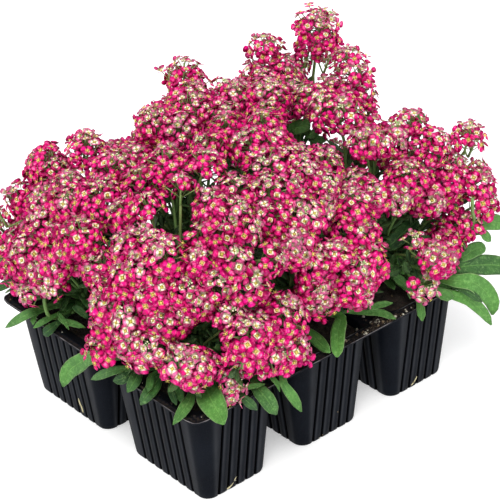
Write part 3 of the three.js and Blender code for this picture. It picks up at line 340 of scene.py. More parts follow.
# Big leaves: plant, half width, tint (0 dark, 1 light; the leaf's own tone together with painted shade on leaves that
# sit in shadow and painted light on sunlit ones), bluntness of the tip and points along the midrib out to the tip.
LEAVES = (
    (0, 6.3, 0.95, 0.25, ((21.0, 18.8, 57.5), (14.4, 5.6, 59.5), (12.3, -1.6, 57.5), (9.6, -9.0, 55.8))),
    (0, 3.0, 0.55, 0.25, ((23.7, 13.3, 60.0), (19.8, 5.5, 58.0))),
    (0, 2.9, 0.50, 0.05, ((11.2, 16.2, 58.0), (2.0, 9.9, 58.5), (-7.0, 7.0, 55.7))),
    (0, 2.0, 0.25, 0.30, ((10.0, 23.6, 60.5), (7.9, 20.1, 58.8), (5.9, 16.6, 56.5))),
    (0, 1.8, 0.05, 0.30, ((8.0, 26.7, 60.0), (4.9, 21.5, 58.5), (3.2, 17.1, 56.5))),
    (0, 3.3, 0.30, 0.10, ((9.8, 37.2, 59.0), (1.9, 33.3, 58.0), (-3.8, 30.6, 57.7), (-5.5, 33.1, 52.8))),
    (0, 1.9, 0.42, 0.30, ((5.1, 36.9, 62.5), (1.2, 33.6, 61.0), (-2.0, 31.2, 59.3))),
    (0, 3.0, 0.30, 0.20, ((5.3, 46.5, 59.5), (-0.7, 43.5, 58.2), (-4.6, 44.1, 54.0))),
    (0, 2.8, 0.05, 0.30, ((4.8, 51.4, 58.5), (-1.4, 50.3, 57.5), (-4.0, 55.8, 54.4))),
    (0, 2.3, 0.55, 0.10, ((2.4, 51.9, 60.5), (-3.2, 57.1, 59.0), (-5.5, 72.1, 48.0))),
    (0, 4.5, 0.72, 0.20, ((-2.9, 71.3, 60.0), (-4.4, 81.7, 52.4), (-6.5, 89.9, 44.2), (-7.5, 94.4, 33.9))),
    (0, 2.3, 0.18, 0.20, ((27.5, 0.1, 58.0), (28.4, -3.6, 56.1), (32.7, -4.6, 49.9))),
    (0, 1.4, 0.75, 0.20, ((28.1, 1.3, 61.5), (34.5, 0.4, 60.0), (38.6, -4.0, 61.2))),
    (1, 3.8, 0.42, 0.20, ((38.7, 3.3, 57.6), (38.1, -4.8, 54.1), (42.8, -6.2, 43.1))),
    (1, 2.6, 0.88, 0.35, ((48.6, -5.0, 58.0), (54.0, -5.2, 47.0), (57.9, -6.2, 37.2))),
    (1, 1.4, 0.75, 0.10, ((46.2, 1.3, 60.0), (46.6, -3.0, 58.0), (47.2, -4.0, 52.6))),
    (1, 3.2, 0.80, 0.45, ((82.4, 16.6, 60.5), (82.6, 9.1, 58.8), (81.2, -1.5, 57.3))),
    (1, 3.6, 1.00, 0.80, ((100.3, 11.9, 63.0), (92.6, 5.2, 60.5), (82.7, -4.6, 55.5))),
    (1, 1.1, 0.55, 0.30, ((71.3, 2.3, 58.2), (74.0, 0.1, 57.4))),
    (1, 2.0, 0.60, 0.50, ((116.0, 10.4, 58.5), (121.1, 6.0, 58.3), (124.5, -1.5, 56.4))),
    (2, 1.8, 0.62, 0.40, ((116.3, 9.4, 61.5), (123.2, 8.1, 61.0), (129.2, 5.3, 60.5))),
    (2, 2.2, 0.80, 0.70, ((140.5, -1.5, 59.0), (139.2, -3.8, 55.4), (139.1, -4.8, 50.1))),
    (2, 2.4, 0.35, 0.30, ((140.7, 16.6, 66.0), (144.5, 15.3, 62.0), (145.1, 10.4, 59.5))),
    (2, 2.2, 0.72, 0.60, ((140.7, 20.8, 70.5), (141.7, 19.4, 67.5), (142.2, 17.1, 64.5))),
    (2, 2.2, 0.78, 0.60, ((148.9, 20.0, 72.5), (148.9, 19.7, 67.5), (148.3, 17.5, 63.0))),
    (2, 3.0, 0.45, 0.30, ((162.0, 3.6, 57.7), (167.0, 2.2, 55.5), (172.0, 0.5, 52.7))),
    (2, 3.0, 0.70, 0.30, ((153.4, -0.1, 59.0), (156.7, -3.0, 56.5), (161.0, -5.0, 53.7))),
    (2, 3.2, 0.95, 0.35, ((160.5, 0.0, 54.6), (166.5, -3.1, 51.3), (171.5, -4.5, 47.8), (176.5, -5.6, 42.4), (182.0, -6.3, 35.2), (186.0, -7.2, 27.4))),
    (2, 4.9, 0.95, 0.30, ((165.0, -2.4, 60.7), (172.5, -4.8, 58.2), (178.5, -5.9, 53.1), (183.5, -6.8, 46.5), (186.5, -7.5, 39.7), (187.0, -6.7, 32.8))),
    (2, 5.3, 0.22, 0.40, ((172.0, 1.6, 64.0), (184.0, -0.6, 61.0), (196.0, -3.7, 56.6), (203.0, -6.3, 50.6))),
    (2, 3.0, 0.72, 0.60, ((167.0, 3.6, 62.4), (170.5, 2.2, 59.2), (172.5, 0.7, 54.9))),
    (2, 3.8, 0.72, 0.80, ((175.0, 2.5, 68.2), (183.0, 2.7, 68.8), (191.0, 2.4, 67.6))),
    (2, 2.5, 0.90, 0.10, ((184.0, -0.3, 79.9), (187.0, -1.6, 76.9), (190.0, -2.2, 72.8))),
    (2, 4.3, 0.92, 0.50, ((183.0, 0.1, 83.6), (191.0, -0.4, 82.8), (202.0, -1.1, 77.4))),
    (2, 2.1, 0.70, 0.60, ((174.0, 2.2, 65.8), (179.0, 2.2, 65.7), (183.0, 1.9, 65.0))),
    (5, 4.7, 0.05, 0.50, ((146.3, 24.6, 78.0), (153.2, 23.2, 82.0), (166.1, 24.9, 84.0))),
    (5, 2.4, 0.60, 0.40, ((170.3, 26.3, 88.0), (170.5, 23.7, 85.0), (169.9, 19.8, 82.0))),
    (3, 2.4, 0.66, 0.10, ((5.2, 124.5, 60.0), (-3.5, 122.8, 61.8), (-6.5, 129.9, 56.2), (-9.0, 138.9, 48.3))),
    (3, 1.6, 0.70, 0.10, ((-0.1, 124.1, 58.5), (-3.6, 121.3, 55.4))),
    (3, 1.7, 0.72, 0.10, ((5.0, 115.9, 59.0), (-0.6, 116.5, 58.4), (-4.6, 119.8, 54.9))),
    (3, 2.6, 0.10, 0.60, ((0.8, 109.3, 58.4), (-3.4, 108.5, 57.8), (-4.6, 111.1, 54.8))),
    (3, 1.7, 0.66, 0.10, ((3.7, 107.8, 61.5), (7.0, 103.4, 60.0), (10.8, 97.0, 58.5))),
    (3, 1.1, 0.60, 0.20, ((4.6, 109.7, 64.0), (5.0, 107.1, 61.5), (4.0, 101.2, 58.6))),
    (3, 1.9, 0.15, 0.20, ((12.0, 106.8, 66.0), (14.1, 103.6, 63.0), (15.3, 100.4, 60.0))),
    (5, 3.7, 0.55, 0.90, ((139.9, 88.2, 122.0), (141.6, 84.0, 124.0), (147.1, 81.8, 125.0))),
    (1, 2.4, 0.28, 0.50, ((90.6, 65.3, 84.0), (91.7, 65.5, 88.0), (94.5, 67.8, 91.0))),
    (1, 2.0, 0.30, 0.10, ((89.0, 54.8, 80.0), (90.6, 57.1, 84.0), (92.7, 60.0, 87.0))),
    (1, 2.3, 0.25, 0.30, ((119.6, 53.8, 92.0), (121.6, 55.3, 94.0), (123.0, 58.9, 96.0))),
    (1, 2.0, 0.62, 0.30, ((115.2, 31.8, 92.0), (114.4, 36.7, 92.0), (116.3, 43.8, 90.0))),
    (0, 1.7, 0.60, 0.35, ((17.7, 77.6, 124.0), (16.4, 80.1, 127.0), (15.6, 83.3, 129.5), (15.1, 86.0, 130.5))),
    (3, 2.2, 0.30, 0.30, ((43.8, 127.7, 86.0), (47.0, 128.9, 90.0), (50.9, 130.3, 93.0))),
    (3, 2.3, 0.10, 0.50, ((6.2, 147.2, 66.0), (2.4, 151.9, 63.0), (-2.1, 156.8, 59.0))),
    (2, 2.1, 0.10, 0.35, ((167.0, -3.9, 55.8), (172.0, -6.0, 51.6), (177.5, -8.4, 45.5))),
    (3, 2.4, 0.08, 0.40, ((10.1, 134.1, 82.0), (13.8, 134.5, 86.0), (17.9, 134.4, 90.0))),
    (0, 3.1, 0.08, 0.40, ((39.2, 121.9, 84.0), (41.3, 118.3, 88.0), (43.4, 116.5, 91.0), (46.0, 115.5, 94.0))),
    (3, 2.0, 0.30, 0.30, ((14.6, 112.7, 72.0), (15.7, 115.9, 77.0), (18.1, 119.2, 82.0))),
    (4, 2.6, 0.10, 0.30, ((82.8, 132.4, 84.0), (87.1, 130.2, 86.0), (91.3, 126.4, 87.0))),
    (4, 2.6, 0.15, 0.30, ((98.7, 111.5, 84.0), (100.6, 115.8, 88.0), (106.4, 121.7, 91.0))),
    (4, 2.4, 0.10, 0.30, ((99.2, 126.6, 92.0), (104.2, 125.3, 94.0), (108.7, 122.6, 95.0))),
    (4, 2.4, 0.15, 0.30, ((117.9, 118.2, 96.0), (123.3, 119.8, 98.0), (129.3, 123.6, 99.0))),
    (4, 2.3, 0.15, 0.30, ((100.3, 93.7, 84.0), (103.4, 94.7, 87.0), (108.2, 96.3, 89.0))),
    (3, 2.3, 0.15, 0.30, ((58.1, 115.2, 80.0), (61.6, 113.8, 82.0), (65.3, 111.8, 83.0))),
    (2, 2.5, 0.10, 0.30, ((152.9, 15.9, 80.0), (155.6, 12.3, 82.0), (159.2, 9.0, 83.0))),
    (5, 2.5, 0.20, 0.30, ((147.6, 84.4, 116.0), (147.3, 77.2, 117.0), (150.5, 72.6, 118.0))),
    (5, 2.3, 0.30, 0.30, ((147.2, 86.0, 119.0), (146.3, 80.5, 119.0), (149.5, 78.8, 119.0))),
    (2, 2.2, 0.25, 0.30, ((184.1, 35.7, 108.0), (185.7, 31.7, 110.0), (188.2, 27.9, 111.0))),
    (2, 2.5, 0.25, 0.30, ((182.2, 45.7, 122.0), (187.0, 44.8, 125.0), (191.4, 45.7, 127.0))),
    (0, 2.6, 0.40, 0.30, ((37.2, 50.4, 64.3), (42.0, 57.9, 66.3))),
    (0, 2.6, 0.40, 0.30, ((23.4, 49.4, 63.3), (19.0, 56.2, 64.3))),
    (1, 2.6, 0.40, 0.30, ((94.9, 51.5, 65.3), (98.2, 59.7, 68.3))),
    (1, 2.6, 0.40, 0.30, ((81.5, 48.7, 63.3), (75.9, 55.0, 64.3))),
    (2, 2.6, 0.40, 0.30, ((140.8, 48.1, 64.3), (134.7, 54.0, 66.3))),
    (2, 3.6, 0.80, 0.30, ((182.2, 49.8, 57.5), (189.0, 52.0, 52.0))),
    (2, 3.0, 0.70, 0.30, ((182.2, 62.9, 57.5), (186.5, 66.0, 50.0))),
    (3, 3.4, 0.90, 0.30, ((37.1, 158.1, 57.5), (38.1, 163.9, 46.3))),
    (3, 2.6, 0.40, 0.30, ((42.4, 122.0, 64.3), (50.7, 125.0, 66.3))),
    (4, 3.6, 0.90, 0.30, ((104.8, 158.0, 57.5), (107.0, 164.1, 47.3))),
    (4, 3.0, 0.80, 0.30, ((75.5, 158.1, 57.5), (73.7, 163.2, 50.3))),
    (4, 2.6, 0.40, 0.30, ((77.6, 112.9, 64.3), (69.3, 109.9, 66.3))),
    (4, 2.6, 0.40, 0.30, ((98.9, 109.0, 64.3), (104.9, 103.3, 66.3))),
    (5, 3.2, 0.80, 0.30, ((173.2, 158.0, 57.5), (176.1, 163.0, 52.3))),
    (5, 3.8, 0.90, 0.30, ((142.8, 158.1, 57.5), (141.7, 164.5, 45.3))),
    (5, 3.8, 0.90, 0.30, ((181.5, 122.9, 57.5), (189.9, 124.3, 48.3))),
    (5, 3.2, 0.80, 0.30, ((181.0, 139.6, 57.5), (186.9, 143.9, 52.3))),
    (5, 2.6, 0.40, 0.30, ((137.0, 115.1, 64.3), (128.3, 113.6, 66.3))),
    (5, 3.0, 0.80, 0.40, ((179.3, 102.3, 57.5), (187.5, 98.0, 50.3))),
)


def cell_centre(cell):
    return np.array([PITCH_X * (cell[0] + 0.5), PITCH_Y * (cell[1] + 0.5)])


def unit(v):
    v = np.asarray(v, float)
    return v / np.maximum(np.linalg.norm(v, axis=-1, keepdims=True), 1e-9)


def smoothstep(a, b, x):
    t = np.clip((np.asarray(x, float) - a) / (b - a), 0, 1)
    return t * t * (3 - 2 * t)


class Noise:
    """Smooth value noise on a wrapped lattice."""

    def __init__(self, seed, n=32):
        self.n = n
        self.g = np.random.default_rng(seed).uniform(-1, 1, (n, n, n))

    def __call__(self, p):
        p = np.asarray(p, float)
        i = np.floor(p).astype(int)
        f = p - i
        f = f * f * (3 - 2 * f)
        out = 0
        for a in (0, 1):
            for b in (0, 1):
                for c in (0, 1):
                    w = (f[..., 0] if a else 1 - f[..., 0]) * (f[..., 1] if b else 1 - f[..., 1]) * (f[..., 2] if c else 1 - f[..., 2])
                    out = out + w * self.g[(i[..., 0] + a) % self.n, (i[..., 1] + b) % self.n, (i[..., 2] + c) % self.n]
        return out


class Build:
    """Collects vertices, faces and the "tone" attribute of one piece."""

    def __init__(self):
        self.v, self.t, self.f, self.count = [], [], [], 0

    def add(self, verts, faces, mat=0, tone=(0.0, 0.0, 0.0, 1.0), smooth=True):
        verts = np.asarray(verts, float).reshape(-1, 3)
        self.v.append(verts)
        self.t.append(np.broadcast_to(np.asarray(tone, float), (len(verts), 4)))
        for f in faces if isinstance(faces, list) else [faces]:
            f = np.asarray(f, int)
            if len(f):
                self.f.append((f + self.count, np.broadcast_to(mat, len(f)), np.broadcast_to(smooth, len(f))))
        self.count += len(verts)

    def make(self, name, materials, slot, replaces=(), merge=None):
        v = np.concatenate(self.v)
        tone = np.concatenate(self.t)
        loops = np.concatenate([f.ravel() for f, _, _ in self.f])
        if merge:
            key = np.round(v / merge).astype(np.int64)
            _, first, back = np.unique(key, axis=0, return_index=True, return_inverse=True)
            back = back.reshape(-1)
            v, tone, loops = v[first], tone[first], back[loops]
        totals = np.concatenate([np.full(len(f), f.shape[1]) for f, _, _ in self.f])
        v = v * 0.001 + ORIGIN
        me = bpy.data.meshes.new(name)
        me.vertices.add(len(v))
        me.vertices.foreach_set("co", v.astype(np.float32).ravel())
        me.loops.add(len(loops))
        me.loops.foreach_set("vertex_index", loops.astype(np.int32))
        me.polygons.add(len(totals))
        me.polygons.foreach_set("loop_start", (np.cumsum(totals) - totals).astype(np.int32))
        me.polygons.foreach_set("material_index", np.concatenate([m for _, m, _ in self.f]).astype(np.int32))
        me.polygons.foreach_set("use_smooth", np.concatenate([s for _, _, s in self.f]).astype(bool))
        me.update(calc_edges=True)
        attribute = me.attributes.new("tone", "FLOAT_COLOR", "POINT")
        attribute.data.foreach_set("color", tone.astype(np.float32).ravel())
        me.validate()
        for m in materials:
            me.materials.append(m)
        ob = bpy.data.objects.new(name, me)
        bpy.context.scene.collection.objects.link(ob)
        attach(ob, "root")
        if replaces:
            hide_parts(*replaces)
        return ob


# ------------------------------------------------------------------ materials
class Nodes:
    """A short way to write a node tree."""

    def __init__(self, name):
        self.mat = bpy.data.materials.new(name)
        self.mat.use_nodes = True
        self.tree = self.mat.node_tree
        self.bsdf = next(n for n in self.tree.nodes if n.type == "BSDF_PRINCIPLED")

    def node(self, kind, **inputs):
        n = self.tree.nodes.new(kind)
        for k, value in inputs.items():
            self.put(n.inputs[k.replace("_", " ")], value)
        return n

    def put(self, socket, value):
        if isinstance(value, bpy.types.NodeSocket):
            self.tree.links.new(value, socket)
        else:
            socket.default_value = value

    def math(self, op, a, b=0.0, c=0.0, clamp=False):
        n = self.tree.nodes.new("ShaderNodeMath")
        n.operation, n.use_clamp = op, clamp
        for s, value in zip(n.inputs, (a, b, c)):
            self.put(s, value)
        return n.outputs[0]

    def span(self, x, a, b, to0=0.0, to1=1.0, smooth=True):
        n = self.tree.nodes.new("ShaderNodeMapRange")
        n.interpolation_type = "SMOOTHSTEP" if smooth else "LINEAR"
        for s, value in zip(n.inputs, (x, a, b, to0, to1)):
            self.put(s, value)
        return n.outputs[0]

    def mix(self, f, a, b, kind="MIX"):
        n = self.tree.nodes.new("ShaderNodeMix")
        n.data_type, n.blend_type = "RGBA", kind
        self.put(n.inputs[0], f)
        for s, value in ((n.inputs[6], a), (n.inputs[7], b)):
            self.put(s, (*value, 1.0) if isinstance(value, tuple) and len(value) == 3 else value)
        return n.outputs[2]

    def tone(self):
        a = self.tree.nodes.new("ShaderNodeAttribute")
        a.attribute_name = "tone"
        s = self.tree.nodes.new("ShaderNodeSeparateColor")
        self.tree.links.new(a.outputs["Color"], s.inputs[0])
        return s.outputs[0], s.outputs[1], s.outputs[2], a.outputs["Alpha"]

    def place(self):
        return self.tree.nodes.new("ShaderNodeTexCoord").outputs["Object"]

    def noise(self, scale, detail=3.0, rough=0.55, distort=0.0, at=None):
        n = self.node("ShaderNodeTexNoise", Vector=at if at is not None else self.place(), Scale=scale, Detail=detail, Roughness=rough, Distortion=distort)
        return n.outputs["Fac"] if "Fac" in n.outputs else n.outputs[0]

    def voronoi(self, scale, feature="F1"):
        n = self.node("ShaderNodeTexVoronoi", Vector=self.place(), Scale=scale)
        n.feature = feature
        return n.outputs["Distance"]

    def bump(self, height, strength, distance):
        n = self.node("ShaderNodeBump", Height=height, Strength=strength, Distance=distance)
        self.tree.links.new(n.outputs[0], self.bsdf.inputs["Normal"])

    def set(self, **inputs):
        for k, value in inputs.items():
            k = k.replace("_", " ")
            self.put(self.bsdf.inputs[k], (*value, 1.0) if isinstance(value, tuple) and len(value) == 3 else value)
        return self.mat


def petal_material():
    n = Nodes("alyssum_petal")
    t, pale, rnd, edge = n.tone()
    # the limb is deep magenta at its margin, partly painted shade where petals overlap, and rose in noisy blotches in
    # the middle, partly painted highlight
    shift = n.math("ADD", n.math("MULTIPLY", rnd, 0.6), n.span(n.noise(330, 1.0), 0.34, 0.66, -0.15, 0.55), clamp=True)
    deep = n.mix(shift, (0.58, 0.0010, 0.118), (0.77, 0.0025, 0.205))
    rose_and_highlight = n.mix(shift, (0.95, 0.170, 0.420), (1.0, 0.395, 0.615))
    blotch = n.noise(620, 2.0, 0.6)
    # painted highlight mask: rose in the middle of the limb, fading to the deep margin
    inner = n.math("MULTIPLY", n.span(edge, 0.10, 0.90, 1.0, 0.35), n.span(t, 0.34, 0.56))
    limb = n.mix(n.math("MULTIPLY", inner, n.span(blotch, 0.47, 0.64, 0.0, 0.68)), deep, rose_and_highlight)
    # young and old florets are washed out with pink
    limb = n.mix(n.math("MULTIPLY", n.span(pale, 0.45, 1.0), 0.34), limb, (0.98, 0.48, 0.68))
    vein = n.noise(1500, 2.0, 0.6)
    limb = n.mix(n.span(vein, 0.35, 0.75, 0.0, 0.14), limb, (0.88, 0.09, 0.30))
    # the claw: cream or white, wider on young florets
    claw = n.mix(n.span(pale, 0.05, 0.6), (0.94, 0.60, 0.42), (1.0, 0.93, 0.70))
    reach = n.math("MULTIPLY_ADD", pale, 0.33, 0.20)
    f = n.span(n.math("SUBTRACT", t, reach), -0.02, 0.15)
    colour = n.mix(f, claw, limb)
    throat = n.span(t, 0.16, 0.30)
    colour = n.mix(throat, (0.74, 0.66, 0.13), colour)
    n.bump(n.noise(2200, 2.0), 0.25, 0.0002)
    rough = n.span(n.noise(700, 2.0), 0.3, 0.7, 0.50, 0.70)
    return n.set(Base_Color=colour, Roughness=rough, Specular_IOR_Level=0.06)


def centre_material():
    n = Nodes("alyssum_centre")
    t, pale, rnd, top = n.tone()
    yellow = n.mix(rnd, (0.74, 0.66, 0.10), (1.0, 0.84, 0.22))
    colour = n.mix(n.span(top, 0.05, 0.55), (0.11, 0.13, 0.02), yellow)
    colour = n.mix(n.span(n.noise(2600, 2.0), 0.58, 0.74, 0.0, 0.6), colour, (0.20, 0.20, 0.03))
    n.bump(n.noise(3000, 2.0), 0.5, 0.0002)
    return n.set(Base_Color=colour, Roughness=n.span(n.noise(900, 1.0), 0.3, 0.7, 0.55, 0.8), Specular_IOR_Level=0.3)


def bud_material():
    n = Nodes("alyssum_bud")
    t, pale, rnd, top = n.tone()
    green = n.mix(rnd, (0.22, 0.42, 0.12), (0.42, 0.62, 0.22))
    colour = n.mix(n.math("MULTIPLY", n.span(t, 0.15, 0.75), n.span(pale, 0.2, 0.9)), green, (0.90, 0.90, 0.62))
    colour = n.mix(n.math("MULTIPLY", n.span(rnd, 0.6, 1.0), n.span(t, 0.60, 1.0, 0.0, 0.7)), colour, (0.90, 0.30, 0.46))
    n.bump(n.noise(2600, 2.0), 0.3, 0.0002)
    return n.set(Base_Color=colour, Roughness=n.span(n.noise(900, 1.0), 0.3, 0.7, 0.45, 0.65), Specular_IOR_Level=0.35)


def stalk_material(name, dark, light, blush):
    n = Nodes(name)
    t, pale, rnd, top = n.tone()
    colour = n.mix(n.span(n.math("MULTIPLY_ADD", t, 0.7, n.math("MULTIPLY", rnd, 0.3)), 0.0, 1.0), dark, light)
    streak = n.noise(900, 3.0, 0.6)
    colour = n.mix(n.span(streak, 0.35, 0.75, 0.0, 0.35), colour, (0.09, 0.15, 0.03))
    colour = n.mix(n.math("MULTIPLY", n.span(rnd, 0.6, 1.0), 0.4), colour, blush)
    n.bump(n.noise(1600, 3.0), 0.35, 0.0003)
    return n.set(Base_Color=colour, Roughness=n.span(streak, 0.3, 0.7, 0.5, 0.72), Specular_IOR_Level=0.35)


def leaf_material(name, dark, light):
    n = Nodes(name)
    t, side, rnd, top = n.tone()
    # for the big leaves rnd holds the tint from LEAVES, which carries painted shade or light for each leaf as well as
    # its own tone
    tint = n.math("MULTIPLY_ADD", rnd, 0.85, n.span(n.noise(110, 3.0), 0.3, 0.7, -0.10, 0.20), clamp=True)
    colour = n.mix(tint, dark, light)
    # mottling
    mottle = n.noise(560, 4.0, 0.7)
    colour = n.mix(n.span(mottle, 0.40, 0.60, 0.50, 0.0), colour, n.mix(0.55, colour, (0.010, 0.055, 0.008)))
    colour = n.mix(n.span(mottle, 0.52, 0.72, 0.0, 0.55), colour, n.mix(0.5, colour, (0.34, 0.58, 0.20)))
    # side veins run forward from the midrib
    x = n.math("MULTIPLY_ADD", side, -0.42, t)
    vein = n.math("ABSOLUTE", n.math("SUBTRACT", n.math("FRACT", n.math("MULTIPLY", x, 8.0)), 0.5))
    vein = n.math("MULTIPLY", n.span(vein, 0.0, 0.13, 1.0, 0.0), n.span(side, 0.05, 0.9, 0.5, 0.1))
    colour = n.mix(n.math("MULTIPLY", vein, 0.25), colour, (0.21, 0.42, 0.12))
    rib = n.span(side, 0.0, 0.10, 1.0, 0.0)
    colour = n.mix(n.math("MULTIPLY", rib, 0.34), colour, (0.20, 0.44, 0.10))
    margin = n.span(side, 0.86, 0.98)
    colour = n.mix(n.math("MULTIPLY", margin, 0.62), colour, n.mix(tint, (0.10, 0.22, 0.06), (0.42, 0.62, 0.26)))
    speck = n.noise(2300, 2.0, 0.7)
    colour = n.mix(n.span(speck, 0.55, 0.75, 0.0, 0.35), colour, n.mix(0.5, colour, (0.45, 0.62, 0.30)))
    colour = n.mix(n.span(top, 0.3, 0.7), n.mix(0.55, colour, (0.26, 0.40, 0.19)), colour)
    height = n.math("MULTIPLY_ADD", rib, -0.8, n.math("MULTIPLY_ADD", vein, -0.5, n.math("MULTIPLY_ADD", mottle, 0.7, n.math("MULTIPLY", speck, 0.4))))
    n.bump(height, 0.6, 0.0005)
    return n.set(Base_Color=colour, Roughness=n.span(speck, 0.3, 0.7, 0.48, 0.70), Specular_IOR_Level=0.22)


def plastic_material():
    n = Nodes("pack_plastic")
    groove, dust, ridge, rim = n.tone()
    fine = n.noise(1400, 4.0, 0.65)
    broad = n.noise(45, 4.0, 0.6, 0.4)
    colour = n.mix(n.span(broad, 0.3, 0.72), (0.0022, 0.0032, 0.0058), (0.0046, 0.0062, 0.0100))
    # painted highlight on the lit edge of each rib
    colour = n.mix(n.math("MULTIPLY", n.span(ridge, 0.1, 1.0), n.span(broad, 0.3, 0.7, 0.45, 0.95)), colour, (0.029, 0.031, 0.036))
    colour = n.mix(n.span(fine, 0.45, 0.8, 0.0, 0.5), colour, n.mix(0.5, colour, (0.021, 0.024, 0.030)))
    # soil dust on the flange and near its edges
    grit = n.noise(650, 5.0, 0.7)
    soil = n.math("MULTIPLY", n.span(grit, 0.42, 0.66), n.span(dust, 0.15, 1.0))
    colour = n.mix(n.math("MULTIPLY", soil, 0.75), colour, (0.040, 0.029, 0.021))
    # painted highlight: lighter grey on the rims and on the ridge round each mouth, broken up by noise
    rim_highlight = n.math("MULTIPLY", n.span(rim, 0.25, 1.0), n.span(n.noise(110, 3.0), 0.36, 0.64, 0.08, 0.95))
    colour = n.mix(rim_highlight, colour, (0.25, 0.235, 0.24))
    # grooves are out of the light
    colour = n.mix(n.span(groove, 0.03, 0.6), colour, (0.0003, 0.0003, 0.0006))
    n.bump(n.math("MULTIPLY_ADD", soil, 1.4, n.math("MULTIPLY_ADD", fine, 0.35, broad)), 0.35, 0.0005)
    rough = n.math("MULTIPLY_ADD", soil, 0.35, n.span(broad, 0.3, 0.7, 0.44, 0.56), clamp=True)
    return n.set(Base_Color=colour, Roughness=rough, Specular_IOR_Level=n.math("MULTIPLY_ADD", groove, -0.036, 0.039))


def soil_material():
    n = Nodes("potting_soil")
    t, pale, rnd, top = n.tone()
    broad = n.noise(120, 5.0, 0.65)
    fine = n.noise(900, 5.0, 0.7)
    colour = n.mix(n.span(broad, 0.35, 0.7), (0.010, 0.0075, 0.0065), (0.046, 0.034, 0.027))
    colour = n.mix(n.span(fine, 0.52, 0.78), colour, (0.095, 0.072, 0.054))
    colour = n.mix(n.span(rnd, 0.78, 0.86), colour, (0.17, 0.125, 0.075))
    colour = n.mix(n.span(rnd, 0.93, 0.96), colour, (0.55, 0.52, 0.42))
    n.bump(n.math("ADD", fine, n.math("MULTIPLY", n.voronoi(900), 0.8)), 0.9, 0.0008)
    return n.set(Base_Color=colour, Roughness=n.span(fine, 0.3, 0.8, 0.78, 1.0), Specular_IOR_Level=0.2)


def straw_material():
    n = Nodes("straw")
    grain = n.noise(1500, 3.0, 0.6, 1.0)
    n.bump(grain, 0.4, 0.0003)
    return n.set(Base_Color=n.mix(grain, (0.36, 0.30, 0.13), (0.72, 0.66, 0.42)), Roughness=n.span(grain, 0.3, 0.7, 0.5, 0.8))


PETAL, CENTRE, BUD = petal_material(), centre_material(), bud_material()
PEDICEL = stalk_material("alyssum_pedicel", (0.14, 0.25, 0.06), (0.36, 0.50, 0.18), (0.56, 0.12, 0.17))
STEM = stalk_material("alyssum_stem", (0.045, 0.105, 0.025), (0.16, 0.30, 0.08), (0.22, 0.18, 0.07))
LEAF = leaf_material("alyssum_leaf", (0.014, 0.050, 0.017), (0.102, 0.286, 0.052))
STEM_LEAF = leaf_material("alyssum_stem_leaf", (0.016, 0.050, 0.018), (0.100, 0.200, 0.060))
PLASTIC, SOIL, STRAW = plastic_material(), soil_material(), straw_material()


# --------------------------------------------------------------- shape helpers
def frames_along(pts):
    """Tangent and two side vectors at each point of a path."""
    tan = unit(np.gradient(pts, axis=0))
    ref = UP if abs(tan[0] @ UP) < 0.9 else np.array([1.0, 0, 0])
    a = unit(np.cross(tan[0], ref))
    side = []
    for t in tan:
        a = unit(a - t * (a @ t))
        side.append(a)
    side = np.array(side)
    return tan, side, np.cross(tan, side)


def spline(pts, n):
    """Catmull-Rom through the points, spaced by chord length."""
    pts = np.asarray(pts, float)
    pts = np.vstack([2 * pts[0] - pts[1], pts, 2 * pts[-1] - pts[-2]])
    k = np.concatenate([[0], np.cumsum(np.sqrt(np.linalg.norm(np.diff(pts, axis=0), axis=1)) + 1e-6)])
    out = []
    for i in range(1, len(pts) - 2):
        t0, t1, t2, t3 = k[i - 1 : i + 3]
        t = np.linspace(t1, t2, 24, endpoint=i == len(pts) - 3)[:, None]
        a1 = (t1 - t) / (t1 - t0) * pts[i - 1] + (t - t0) / (t1 - t0) * pts[i]
        a2 = (t2 - t) / (t2 - t1) * pts[i] + (t - t1) / (t2 - t1) * pts[i + 1]
        a3 = (t3 - t) / (t3 - t2) * pts[i + 1] + (t - t2) / (t3 - t2) * pts[i + 2]
        b1 = (t2 - t) / (t2 - t0) * a1 + (t - t0) / (t2 - t0) * a2
        b2 = (t3 - t) / (t3 - t1) * a2 + (t - t1) / (t3 - t1) * a3
        out.append((t2 - t) / (t2 - t1) * b1 + (t - t1) / (t2 - t1) * b2)
    out = np.vstack(out)
    s = np.concatenate([[0], np.cumsum(np.linalg.norm(np.diff(out, axis=0), axis=1))])
    u = np.linspace(0, s[-1], n)
    return np.stack([np.interp(u, s, out[:, c]) for c in range(3)], 1)


def tube(b, pts, radius, sides, mat, tone):
    """A closed tube along a path; tone is (m, 4), one row for each point."""
    pts = np.asarray(pts, float)
    m = len(pts)
    _, u, w = frames_along(pts)
    a = np.arange(sides) * 2 * math.pi / sides
    r = np.broadcast_to(radius, m)[:, None, None]
    ring = pts[:, None] + r * (u[:, None] * np.cos(a)[None, :, None] + w[:, None] * np.sin(a)[None, :, None])
    i = np.arange(m - 1)[:, None] * sides
    j = np.arange(sides)[None]
    k = (j + 1) % sides
    quads = np.stack([i + j, i + k, i + sides + k, i + sides + j], -1).reshape(-1, 4)
    caps = np.array([np.arange(sides)[::-1], np.arange(sides) + (m - 1) * sides])
    b.add(ring.reshape(-1, 3), [quads, caps], mat, np.repeat(tone, sides, axis=0))


def copies(b, verts, faces, mats, tones, turn, size, place):
    """Copies of a template: turn (n,3,3), size (n,) or (n,1,3), verts (V,3) or (n,V,3), tones (n,V,4)."""
    n = len(place)
    size = np.asarray(size, float)
    size = size[:, None, None] if size.ndim == 1 else size
    v = np.broadcast_to(verts, (n, *verts.shape[-2:])) * size
    v = np.einsum("nvk,nik->nvi", v, turn) + place[:, None]
    nv = v.shape[1]
    shift = (np.arange(n) * nv)[:, None, None]
    for f, m in zip(faces, mats):
        f = np.asarray(f, int)
        b.f.append(((f[None] + shift).reshape(-1, f.shape[1]) + b.count, np.tile(np.broadcast_to(m, len(f)), n), np.ones(n * len(f), bool)))
    b.v.append(v.reshape(-1, 3))
    b.t.append(np.broadcast_to(tones, (n, nv, 4)).reshape(-1, 4))
    b.count += n * nv


